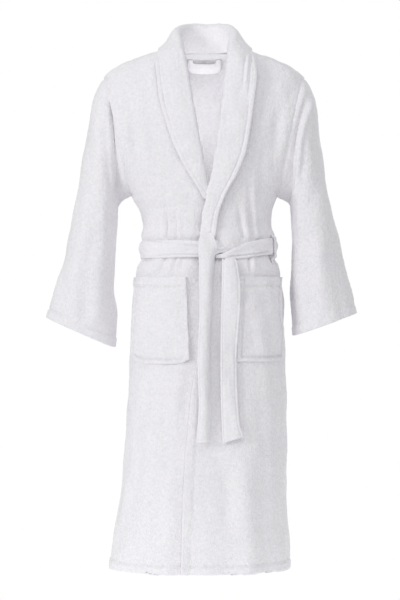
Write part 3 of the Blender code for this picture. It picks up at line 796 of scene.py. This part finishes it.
def make_collar():
    """The shawl collar, folded over, from its end under the left lapel round the neck to its end
    at the belt."""
    rows = [collar_front_row(-1, *points) for points in reversed(COLLAR_FRONT[-1])]
    neck = list(zip(COLLAR_SWELL, COLLAR_NECK))
    rows += [collar_neck_row(-1, swell, *points) for swell, points in reversed(neck[1:])]
    rows += [collar_neck_row(1, swell, *points) for swell, points in neck]
    rows += [collar_front_row(1, *points) for points in COLLAR_FRONT[1]]
    base = smooth_grid(rows, COLLAR_ROWS, COLLAR_COLUMNS)
    facing = 1 if grid_normals(base)[-20, -10, 1] < 0 else -1
    normals = grid_normals(base) * facing
    middle = base + normals * (COLLAR_HALF + 0.0006)
    across = np.linalg.norm(np.diff(base, axis=1), axis=-1)
    run = np.concatenate([np.zeros((len(base), 1)), np.cumsum(across, axis=1)], axis=1)
    from_edge = run[:, -1:] - run
    x, y, z = base[..., 0], base[..., 1], base[..., 2]
    # the rim stands up most on the left lapel and least behind the neck
    rim = (0.45 + 0.55 * smoothstep(-0.02, 0.06, x)) * (1 - 0.7 * smoothstep(-0.035, 0.000, z))
    raised = pile(base) + rim * 0.0014 * smoothstep(0.012, 0.007, from_edge)
    raised = raised - rim * 0.0024 * bell(from_edge - SEWN_EDGE, 0.0017)
    raised = raised + 0.0007 * waves(base, 0.05, 52)
    raised = raised + np.where(y < -0.02, creases(x, z, COLLAR_CREASES), 0)
    obj = cloth("shawl_collar", middle, COLLAR_HALF, facing, COLLAR_CLOTH, raised=raised)
    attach(obj, "robe")
    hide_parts("left_upper_collar", "left_under_collar", "right_upper_collar", "right_under_collar")


# Pockets

# Pocket outlines: x of the outer side at the bottom, x of the inner side at mouth and bottom, and
# the bottom's height from the outer side inwards
POCKET_OUTER = {1: 0.176, -1: -0.156}
POCKET_INNER = {1: (0.077, 0.072), -1: (-0.0365, -0.0290)}
POCKET_BOTTOM = {
    1: ((0.0, -0.6955), (0.5, -0.6980), (1.0, -0.6970)),
    -1: (
        (0.0, -0.6880), (0.12, -0.6960), (0.35, -0.7030),
        (0.75, -0.7030), (0.92, -0.6990), (1.0, -0.6930),
    ),
}


POCKET_LAYER = TERRY * 0.38              # half thick, pulled a little flat by its stitching


def make_pocket(name, node, side):
    up, across = np.broadcast_arrays(spread(52, 0.18)[:, None], spread(48, 0.17)[None, :])
    bottom = keyed(POCKET_BOTTOM[side], across)[0]
    z = bottom + (POCKET_MOUTH_Z - bottom) * up
    mouth_x, bottom_x = POCKET_INNER[side]
    first = angle_at(-1, z, POCKET_OUTER[side] - side * 0.0050 * up)
    last = angle_at(-1, z, bottom_x + (mouth_x - bottom_x) * up)
    angles = first + (last - first) * across
    base = body_point(-1, z, angles)
    normals = body_normal(-1, z, angles)
    # the pocket lies on the front, and its mouth stands open a little
    gape = 0.0026 * np.sin(math.pi * across) ** 0.8 * np.sin(up * math.pi / 2) ** 1.2
    lift = drape(-1, base) * (1 - 0.3 * up) + 0.0026 + gape
    middle = base + normals * lift[..., None]
    width = np.linalg.norm(np.diff(base, axis=1), axis=-1).sum(axis=1).mean()
    from_side = np.minimum(across, 1 - across) * width
    from_sewn = np.minimum(from_side, z - bottom)
    raised = pile(base) + 0.0020 * smoothstep(0.0115, 0.0075, from_sewn)
    raised = raised - 0.0028 * bell(from_sewn - SEWN_EDGE, 0.0017)
    raised = raised + hem_relief(POCKET_MOUTH_Z - z, hem=CUFF_HEM, swell=0.0014)
    raised = raised + 0.0009 * waves(base, 0.05, 61 + side)
    facing = panel_facing(middle, -1)
    obj = cloth(name, middle, POCKET_LAYER, facing, TERRY_CLOTH, raised=raised)
    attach(obj, "robe")
    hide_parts(node)


# Belt

BELT_HALF = 0.0034       # half of the belt's two layers
BELT_RISE = 0.0044       # from the body's form to the middle of the belt
BELT_PILE = 0.8          # its loops stand lower than the robe's
BELT_HEM = 0.0016        # how deep the stitching across the end of a tail is drawn in
# The belt's two ends go under the knot here, on its right and on its left
KNOT_RIGHT_X = 0.022
KNOT_X = 0.024
KNOT_LEFT_X = 0.026
WAIST_X = 0.011          # middle of the waist
# On the wearer's left of the knot: x, how far the belt's middle is off its height, half width
LEFT_RUN = (
    (0.026, -0.0162, 0.0045), (0.040, -0.0156, 0.0050), (0.0513, -0.0136, 0.0080), (0.066, -0.0100, 0.0118),
    (0.078, -0.0071, 0.0150), (0.102, -0.0008, 0.0175), (0.125, 0.0042, 0.0182), (0.150, 0.0075, 0.0190),
    (0.170, 0.0075, 0.0196),
)
# On the wearer's right of the knot
RIGHT_RUN = (
    (-0.150, 0.0000, 0.0200), (-0.060, 0.0004, 0.0196), (-0.010, -0.0004, 0.0184), (0.022, -0.0020, 0.0120),
)
BELT_GROOVES = (
    (((-0.150, -0.4290), (-0.117, -0.4312), (-0.072, -0.4367), (-0.045, -0.4399), (0.010, -0.4460)),
     0.0019, 0.0036, -0.0016, (0.15, 0.02)),
    (((-0.120, -0.4630), (-0.080, -0.4610), (0.004, -0.4600)), 0.0016, 0.0028, 0.0010, (0.30, 0.05)),
    (((0.052, -0.4650), (0.0888, -0.4622), (0.1154, -0.4582), (0.135, -0.4548), (0.152, -0.4515)),
     0.0019, 0.0034, 0.0014, (0.10, 0.10)),
    (((0.050, -0.4560), (0.070, -0.4480), (0.098, -0.4360)), 0.0022, 0.0014, 0.0012, (0.10, 0.60)),
)


def belt_route():
    """The belt's middle line and the way outwards along it: from the knot round the wearer's right
    side, across the back and up the wearer's left side."""
    level = np.array(BELT_Z)
    just_off = 0.0001
    right = np.linspace(angle_at(-1, level, KNOT_RIGHT_X), math.pi - just_off, 125)
    behind = np.linspace(math.pi - just_off, just_off, 250)[1:]
    left = np.linspace(just_off, angle_at(-1, level, KNOT_LEFT_X), 125)[1:]
    parts = ((-1, right), (1, behind), (-1, left))
    route = np.concatenate([[body_point(face, level, angle) for angle in angles] for face, angles in parts])
    steps = np.concatenate([[0], np.cumsum(np.linalg.norm(np.diff(route, axis=0), axis=-1))])
    places = spread(250, steps[-1]) * steps[-1]
    route = np.stack([np.interp(places, steps, route[:, k]) for k in range(3)], axis=-1)
    ahead = np.gradient(route, axis=0)
    ahead /= np.linalg.norm(ahead, axis=-1, keepdims=True)
    out = np.stack([-ahead[:, 1], ahead[:, 0], np.zeros(len(ahead))], axis=-1)
    outwards = np.sum(out * (route - np.array([WAIST_X, 0, BELT_Z])), axis=-1, keepdims=True)
    return route, out * np.where(outwards > 0, 1, -1)


def make_belt_band():
    route, out = belt_route()
    at_front = route[:, 1] < 0
    on_left = route[:, 0] > KNOT_X
    offset = np.zeros(len(route))
    half_width = np.full(len(route), BELT_WIDTH / 2)
    for run, chosen in ((LEFT_RUN, at_front & on_left), (RIGHT_RUN, at_front & ~on_left)):
        run_offset, run_half = keyed(run, route[:, 0])
        offset = np.where(chosen, run_offset, offset)
        half_width = np.where(chosen, run_half, half_width)
    # behind, it comes down level from where it sits at the wearer's left side
    offset = np.where(~at_front & on_left, 0.0075 * smoothstep(0.075, 0.0, route[:, 1]), offset)
    across = 2 * spread(18, BELT_WIDTH) - 1
    z = BELT_Z + offset[:, None] + half_width[:, None] * across[None, :]
    # where the knot gathers the belt narrow, it is thicker and stands out further
    pinch = 1 - smoothstep(0.006, 0.019, half_width)
    crown = 0.0010 * (1 - across[None, :] ** 2) + 0.0050 * pinch[:, None]
    middle = route[:, None, :] + out[:, None, :] * (BELT_RISE + crown)[..., None]
    middle[..., 2] = z
    relief = np.where(at_front[:, None], creases(middle[..., 0], z, BELT_GROOVES), 0)
    relief += 0.0012 * waves(middle, (0.05, 0.05, 0.030), 71)
    relief -= 0.0010 * bell(1 - np.abs(across)[None, :], 0.28)
    raised = pile(middle) * BELT_PILE + relief
    facing = 1 if np.mean(np.sum(grid_normals(middle) * out[:, None, :], axis=-1)) > 0 else -1
    half = BELT_HALF * (1 + 0.5 * pinch[:, None]) * np.ones_like(z)
    obj = cloth("belt_round_waist", middle, half, facing, BELT_CLOTH, raised=raised)
    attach(obj, "robe")
    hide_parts("belt_band")


def front_spot(x, z, lift):
    """Points on the front at x and z, lifted off it."""
    x, z, lift = np.broadcast_arrays(x, z, lift)
    angle = angle_at(-1, z, x)
    return body_point(-1, z, angle) + body_normal(-1, z, angle) * lift[..., None]


# The over tail, from behind the belt's top edge over the knot and down:
# height, left edge of its face, right edge of its face, lift, and the radius in millimetres of the
# bend where its right side turns back
OVER_TAIL = (
    (-0.4130, -0.0010, 0.0150, 0.0125, 7.0),
    (-0.4190, -0.0055, 0.0165, 0.0170, 7.0),
    (-0.4270, -0.0080, 0.0178, 0.0205, 6.0),
    (-0.4360, -0.0090, 0.0188, 0.0235, 6.0),
    (-0.4480, -0.0092, 0.0192, 0.0250, 5.5),
    (-0.4600, -0.0090, 0.0188, 0.0245, 5.5),
    (-0.4700, -0.0085, 0.0176, 0.0230, 5.5),
    (-0.4908, -0.0078, 0.0152, 0.0210, 5.5),
    (-0.5613, -0.0078, 0.0105, 0.0200, 6.0),
    (-0.6936, -0.0110, 0.0058, 0.0200, 7.0),
    (-0.7817, -0.0120, 0.0030, 0.0210, 6.0),
    (-0.8450, -0.0145, 0.0020, 0.0215, 4.5),
    (-0.8760, -0.0150, 0.0060, 0.0215, 4.5),
)
# The under tail: height, left edge, right edge
UNDER_TAIL = (
    (-0.4600, 0.0440, 0.0600), (-0.4690, 0.0410, 0.0690), (-0.4775, 0.0402, 0.0715),
    (-0.5326, 0.0395, 0.0783), (-0.5613, 0.0390, 0.0790), (-0.6936, 0.0366, 0.0718),
    (-0.7817, 0.0375, 0.0740), (-0.8369, 0.0395, 0.0780), (-0.8700, 0.0415, 0.0845),
)
UNDER_TAIL_CREASES = (
    (((0.0415, -0.462), (0.052, -0.484)), 0.0018, 0.0022, 0.0015, (0.05, 0.5)),
    (((0.052, -0.496), (0.070, -0.491)), 0.0016, 0.0014, 0.0012, (0.3, 0.3)),
)


def tail_heights(table, rows):
    """Heights of a tail's rows, from its top down."""
    top, end = table[0][0], table[-1][0]
    return top - (top - end) * spread(rows, top - end)


def make_over_tail():
    heights = tail_heights(OVER_TAIL, 150)
    left, right, lift, radius = keyed(sorted(OVER_TAIL), heights)
    columns = spread(26, BELT_WIDTH) * BELT_WIDTH
    # its hidden top is gathered narrower
    strip = columns[None, :] * (0.74 + 0.26 * smoothstep(-0.416, -0.442, heights))[:, None]
    face = (right - left)[:, None]
    # what is left of the strip past its face turns back round a bend and then runs straight
    radius = radius[:, None] / MM
    turned = math.radians(66) * smoothstep(-0.425, -0.47, heights)[:, None]
    bend_start = face - radius * 0.6
    past = np.maximum(strip - bend_start, 0)
    angle = np.minimum(past / radius, turned)
    straight = np.maximum(past - turned * radius, 0)
    x = left[:, None] + np.minimum(strip, bend_start)
    x = x + radius * np.sin(angle) + straight * np.cos(angle)
    back = radius * (1 - np.cos(angle)) + straight * np.sin(angle)
    slant = 0.0060 * smoothstep(-0.80, -0.876, heights)[:, None] * (columns[None, :] / BELT_WIDTH)
    z = heights[:, None] + slant
    bow = 0.0012 * np.sin(math.pi * np.clip(strip / face, 0, 1))
    lifted = np.maximum(lift[:, None] - back + bow, 0.0070)
    lifted = np.where(z > -0.4265, lift[:, None], lifted)
    sway = 0.0012 * waves(np.stack([x, x * 0, z], axis=-1), (0.5, 1.0, 0.16), 81)
    middle = front_spot(x + sway, z, lifted)
    facing = panel_facing(middle, -1)
    from_side = np.minimum(columns, BELT_WIDTH - columns)[None, :]
    relief = -0.0010 * bell(from_side - 0.0050, 0.0014) + 0.0006 * waves(middle, (0.03, 0.03, 0.06), 82)
    relief = relief - BELT_HEM * bell(z - OVER_TAIL[-1][0] - 0.012, 0.0014)
    raised = pile(middle) * BELT_PILE + relief
    obj = cloth("belt_over_tail", middle, BELT_HALF, facing, BELT_CLOTH, raised=raised)
    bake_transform(obj)
    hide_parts("belt_tail_over")


def make_under_tail():
    heights = tail_heights(UNDER_TAIL, 140)
    left, right = keyed(sorted(UNDER_TAIL), heights)
    columns = spread(24, BELT_WIDTH)[None, :]
    x = left[:, None] + (right - left)[:, None] * columns
    slant = 0.0140 * smoothstep(-0.83, -0.87, heights)[:, None] * (columns - 0.45)
    z = heights[:, None] + slant
    # it comes out from under the belt, and where it looks narrow it stands turned
    turn = (BELT_WIDTH - (right - left))[:, None]
    lift = 0.0015 + 0.0092 * smoothstep(-0.464, -0.482, heights)[:, None]
    lift = lift + 0.35 * turn * (1 - columns) * smoothstep(-0.49, -0.56, heights)[:, None]
    lift = lift + 0.0014 * waves(np.stack([x, x * 0, z], axis=-1), (0.06, 1.0, 0.15), 91)
    middle = front_spot(x, z, lift)
    facing = panel_facing(middle, -1)
    width = (right - left)[:, None]
    from_left, from_right = columns * width, (1 - columns) * width
    relief = -0.0016 * bell(from_right - 0.0052, 0.0015) - 0.0012 * bell(from_left - 0.0050, 0.0014)
    relief = relief + creases(x, z, UNDER_TAIL_CREASES)
    relief = relief - BELT_HEM * bell(heights[:, None] - UNDER_TAIL[-1][0] - 0.010, 0.0014)
    relief = relief + 0.0006 * waves(middle, (0.03, 0.03, 0.05), 92)
    raised = pile(middle) * BELT_PILE + relief
    obj = cloth("belt_under_tail", middle, BELT_HALF, facing, BELT_CLOTH, raised=raised)
    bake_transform(obj)
    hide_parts("belt_tail_under")


# The knot's wrap, across it from the wearer's right to left: x, middle height, half height, lift
WRAP = (
    (-0.006, -0.4480, 0.0150, 0.0120), (0.004, -0.4480, 0.0160, 0.0150), (0.018, -0.4470, 0.0165, 0.0165),
    (0.026, -0.4455, 0.0150, 0.0160), (0.033, -0.4450, 0.0120, 0.0150), (0.040, -0.4465, 0.0085, 0.0130),
    (0.048, -0.4490, 0.0055, 0.0100), (0.056, -0.4510, 0.0030, 0.0070),
)
WRAP_CREASES = (
    (((0.022, -0.4400), (0.034, -0.4420), (0.048, -0.4470)), 0.0018, 0.0018, 0.0012, (0.1, 0.3)),
    (((0.022, -0.4500), (0.036, -0.4500), (0.050, -0.4510)), 0.0018, 0.0018, 0.0012, (0.1, 0.3)),
)


def make_knot():
    """The turn of the belt behind the over tail: the wrap that the tail passes under and over."""
    x = WRAP[0][0] + (WRAP[-1][0] - WRAP[0][0]) * spread(44, 0.064)
    height, half, lift = keyed(WRAP, x)
    across = 2 * spread(22, 0.034) - 1
    z = height[:, None] + half[:, None] * across[None, :]
    round_off = 0.0085 * (1 - np.sqrt(np.maximum(0, 1 - 0.96 * across[None, :] ** 2)))
    middle = front_spot(x[:, None], z, lift[:, None] - round_off)
    facing = panel_facing(middle, -1)
    raised = pile(middle) * BELT_PILE + creases(middle[..., 0], z, WRAP_CREASES)
    obj = cloth("belt_wrap", middle, BELT_HALF * 1.1, facing, BELT_CLOTH, raised=raised)
    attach(obj, "robe")
    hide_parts("belt_knot")


LOOP_WIDTH = 0.012
LOOP_HALF_LENGTH = 0.036
LOOP_LAYER = 0.0013      # half of its thin cloth
LEFT_LOOP_ANGLE = 0.32
LEFT_LOOP_Z = BELT_Z + 0.0060
RIGHT_LOOP_ANGLE = math.pi - 0.45


def make_belt_loop(name, node, face, angle, middle_z):
    """A narrow strip sewn to the side above and below the belt, which runs under it."""
    heights = LOOP_HALF_LENGTH * (1 - 2 * spread(56, 0.085))
    columns = LOOP_WIDTH * (spread(9, LOOP_WIDTH) - 0.5)
    over_belt = smoothstep(0.0285, 0.0205, np.abs(heights))
    lift = 0.0028 + 0.0090 * over_belt
    out = body_normal(face, np.array(middle_z), np.array(angle))
    out = out * np.array([1, 1, 0])
    out /= np.linalg.norm(out)
    along = np.array([-out[1], out[0], 0])
    base = body_point(face, middle_z + heights, np.full(len(heights), angle))
    middle = base[:, None, :] + along * columns[None, :, None] + out * lift[:, None, None]
    facing = 1 if np.mean(np.sum(grid_normals(middle) * out, axis=-1)) > 0 else -1
    from_side = LOOP_WIDTH / 2 - np.abs(columns)[None, :]
    raised = pile(middle) * 0.6 - 0.0005 * bell(from_side - 0.0024, 0.0009) * np.ones((len(heights), 1))
    obj = cloth(name, middle, LOOP_LAYER, facing, BELT_CLOTH, raised=raised)
    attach(obj, "robe")
    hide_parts(node)


# Inside the neck

TAPE_HALF_WIDTH = 0.062
TAPE_INSET = 0.0052      # it lies this far inside the body's form
TAPE_LAYER = 0.0008      # half of the tape's thickness
HANGER_TOP_Z = -0.0065
HANGER_LAYER = 0.0021    # half of the loop's doubled cloth


def make_neck_tape():
    xs = CENTRE_X + TAPE_HALF_WIDTH * (1 - 2 * spread(60, 0.13))
    ups = spread(8, 0.011)
    z, xs = np.broadcast_arrays((-0.0030 + 0.0105 * ups)[:, None], xs[None, :])
    angle = angle_at(1, z, xs)
    middle = body_point(1, z, angle) - body_normal(1, z, angle) * TAPE_INSET
    facing = panel_facing(middle, -1)
    ribs = 0.00025 * np.cos(2 * math.pi * ups * 4)[:, None] * np.ones_like(z)
    obj = cloth("neck_seam_tape", middle, TAPE_LAYER, facing, TAPE_CLOTH, raised=ribs)
    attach(obj, "robe")
    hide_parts("neck_tape")


def make_hanger_loop():
    """A soft band of doubled terry hanging from the neck seam in a U, widest at the bottom."""
    outer_half, inner_half, drop, slot = 0.0385, 0.0270, 0.0345, 0.0110
    ends = np.array([0, 0.004, 0.012, 0.022])
    turns = np.concatenate([ends, np.linspace(0, math.pi, 90)[2:-2], math.pi - ends[::-1]])
    power = 0.42         # well under 1, so that the U has square corners
    across = np.sign(np.cos(turns)) * np.abs(np.cos(turns)) ** power
    down = np.abs(np.sin(turns)) ** power
    outer = np.stack([-outer_half * across, -drop * down], axis=-1)
    inner = np.stack([-inner_half * across, -slot * down], axis=-1)
    shares = spread(14, 0.020)[None, :, None]
    flat = inner[:, None, :] * (1 - shares) + outer[:, None, :] * shares
    sag = 1 - np.abs(2 * shares[..., 0] - 1) ** 2
    x = CENTRE_X + flat[..., 0]
    z = HANGER_TOP_Z + flat[..., 1]
    y = 0.0645 - 0.0030 * smoothstep(0, -drop, flat[..., 1]) - 0.0022 * sag
    middle = np.stack([x, y, z], axis=-1)
    facing = panel_facing(middle, -1)
    obj = cloth("hanging_loop", middle, HANGER_LAYER, facing, BELT_CLOTH, raised=pile(middle) * BELT_PILE)
    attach(obj, "loop")
    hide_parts("hanger_loop")


# Materials

PATCH_MM = 60            # across a patch of slightly darker cloth


def linear(hex_colour):
    """An sRGB hex colour as linear values with alpha."""
    values = [int(hex_colour[k:k + 2], 16) / 255 for k in (1, 3, 5)]
    return [v / 12.92 if v <= 0.04045 else ((v + 0.055) / 1.055) ** 2.4 for v in values] + [1.0]


def add_node(tree, kind, settings=None, inputs=None, links=None):
    """Adds a node, sets its properties and inputs, and links its inputs to other nodes' outputs."""
    node = tree.nodes.new(kind)
    for key, value in (settings or {}).items():
        setattr(node, key, value)
    for key, value in (inputs or {}).items():
        node.inputs[key].default_value = value
    for key, (source, output) in (links or {}).items():
        tree.links.new(source.outputs[output], node.inputs[key])
    return node


def looped_cotton(name, light, dark, loop_mm, clump_mm, depth_mm):
    """Cotton terry: uncut loops that stand in clumps after washing. It has no gloss, and the
    loops scatter light, so it has a soft rim and small soft shadows between the clumps. Real loops
    stand 1 to 1.5 mm apart. They are drawn about twice as far apart and as deep, so that they show."""
    material = bpy.data.materials.new(name)
    material.use_nodes = True
    tree = material.node_tree
    shader = tree.nodes["Principled BSDF"]
    place = add_node(tree, "ShaderNodeTexCoord")
    on_cloth = {"Vector": (place, "Object")}
    loops = add_node(tree, "ShaderNodeTexVoronoi", {"feature": "SMOOTH_F1"},
                     {"Scale": MM / loop_mm, "Smoothness": 0.6, "Randomness": 1.0}, on_cloth)
    clumps = add_node(tree, "ShaderNodeTexNoise", None,
                      {"Scale": MM / clump_mm, "Detail": 3.0, "Roughness": 0.6}, on_cloth)
    patches = add_node(tree, "ShaderNodeTexNoise", None,
                       {"Scale": MM / PATCH_MM, "Detail": 2.0, "Roughness": 0.5}, on_cloth)
    height = add_node(tree, "ShaderNodeMix", {"data_type": "FLOAT"}, {"Factor": 0.55},
                      {"A": (loops, "Distance"), "B": (clumps, "Fac")})
    # painted shade: the colour is darker in the gaps between clumps, where the bump is low, and some
    # patches of the cloth are a little darker at random
    shade = add_node(tree, "ShaderNodeMath", {"operation": "MULTIPLY_ADD"}, {1: 0.12},
                     {0: (patches, "Fac"), 2: (clumps, "Fac")})
    ramp = add_node(tree, "ShaderNodeMapRange", None,
                    {"From Min": 0.36, "From Max": 0.76, "To Min": 0.0, "To Max": 1.0},
                    {"Value": (shade, "Value")})
    colour = add_node(tree, "ShaderNodeMix", {"data_type": "RGBA"}, {"A": linear(dark), "B": linear(light)},
                      {"Factor": (ramp, "Result")})
    tree.links.new(colour.outputs["Result"], shader.inputs["Base Color"])
    bump = add_node(tree, "ShaderNodeBump", None, {"Strength": 0.55, "Distance": depth_mm / MM},
                    {"Height": (height, "Result")})
    tree.links.new(bump.outputs["Normal"], shader.inputs["Normal"])
    shader.inputs["Roughness"].default_value = 0.95
    shader.inputs["Specular IOR Level"].default_value = 0.15
    shader.inputs["Sheen Weight"].default_value = 0.25
    shader.inputs["Sheen Roughness"].default_value = 0.6
    return material


# The same white cotton throughout. The belt's loops are shorter and closer, and the tape is plain weave.
TERRY_CLOTH = looped_cotton("washed_cotton_terry", "#f7f5f8", "#ecebef", 3.0, 6.5, 4.4)
BELT_CLOTH = looped_cotton("washed_cotton_terry_belt", "#f7f5f8", "#eeedf1", 2.6, 5.0, 2.8)
TAPE_CLOTH = looped_cotton("cotton_seam_tape", "#ffffff", "#f4f4f8", 1.0, 3.0, 0.3)
COLLAR_CLOTH = looped_cotton("washed_cotton_terry_collar", "#f7f5f8", "#edecf0", 3.0, 6.5, 4.0)


# Stage

FLOOR_GAP = 0.25         # from the hem down to the floor
FLOOR_RADIUS = 1.05
CAMERA_PLACE = (-0.007, -4.3, -0.561)
FILM_MM = 36
LENS_MM = 113.5


def studio():
    bpy.ops.object.select_all(action="DESELECT")
    place = (0, 0, HEM_Z - FLOOR_GAP)
    bpy.ops.mesh.primitive_circle_add(vertices=128, radius=FLOOR_RADIUS, fill_type="NGON", location=place)
    floor = bpy.context.object
    floor.name = "floor"
    paper = bpy.data.materials.new("floor_paper")
    paper.use_nodes = True
    shader = paper.node_tree.nodes["Principled BSDF"]
    shader.inputs["Base Color"].default_value = linear("#ffffff")
    shader.inputs["Roughness"].default_value = 1.0
    shader.inputs["Emission Color"].default_value = linear("#ffffff")
    shader.inputs["Emission Strength"].default_value = 0.30
    floor.data.materials.append(paper)
    world = bpy.data.worlds.new("studio_air")
    bpy.context.scene.world = world
    world.use_nodes = True
    # the room lights the robe softly, and is itself seen as plain white
    tree = world.node_tree
    room = tree.nodes["Background"]
    room.inputs["Color"].default_value = linear("#fafafb")
    room.inputs["Strength"].default_value = 0.60
    white = add_node(tree, "ShaderNodeBackground", None, {"Color": linear("#ffffff"), "Strength": 1.0})
    seen = add_node(tree, "ShaderNodeLightPath")
    mixed = add_node(tree, "ShaderNodeMixShader", None, None,
                     {0: (seen, "Is Camera Ray"), 1: (room, 0), 2: (white, 0)})
    tree.links.new(mixed.outputs[0], tree.nodes["World Output"].inputs["Surface"])
    behind = add_light("behind", (2.0, 3.8, 0.6), (0, 0, -0.5), 2.4, 46)
    behind.visible_camera = False
    add_light("key", (-3.5, -3.1, 0.6), (0, 0, -0.4), 1.5, 61)
    add_light("top", (0.3, -2.6, 2.0), (0, 0, -0.4), 2.4, 22)
    # a small soft light just in front of the neck, for the cloth inside it
    inside = add_light("neck_fill", (0.010, -0.050, -0.155), (0.010, 0.100, -0.155), 0.09, 0.19)
    inside.data.shape = "RECTANGLE"
    inside.data.size_y = 0.24
    inside.visible_camera = False


def add_light(name, place, target, size, power):
    data = bpy.data.lights.new(name, "AREA")
    data.size = size
    data.energy = power
    light = bpy.data.objects.new(name, data)
    light.location = place
    light.rotation_euler = (Vector(target) - Vector(place)).to_track_quat("-Z", "Y").to_euler()
    bpy.context.scene.collection.objects.link(light)
    return light


def camera():
    data = bpy.data.cameras.new("camera")
    data.sensor_fit = "VERTICAL"
    data.sensor_height = FILM_MM
    data.lens = LENS_MM
    view = bpy.data.objects.new("camera", data)
    view.location = CAMERA_PLACE
    view.rotation_euler = (math.pi / 2, 0, 0)
    bpy.context.scene.collection.objects.link(view)
    bpy.context.scene.camera = view
    bpy.context.scene.view_settings.view_transform = "Standard"


def main():
    camera()
    studio()
    make_back()
    make_left_front()
    make_right_front()
    make_sleeve("left_arm_sleeve", "left_sleeve", 1)
    make_sleeve("right_arm_sleeve", "right_sleeve", -1)
    make_collar()
    make_pocket("left_patch_pocket", "left_pocket", 1)
    make_pocket("right_patch_pocket", "right_pocket", -1)
    make_belt_band()
    make_knot()
    make_over_tail()
    make_under_tail()
    make_belt_loop("left_side_loop", "left_belt_loop", -1, LEFT_LOOP_ANGLE, LEFT_LOOP_Z)
    make_belt_loop("right_side_loop", "right_belt_loop", 1, RIGHT_LOOP_ANGLE, BELT_Z)
    make_neck_tape()
    make_hanger_loop()


main()
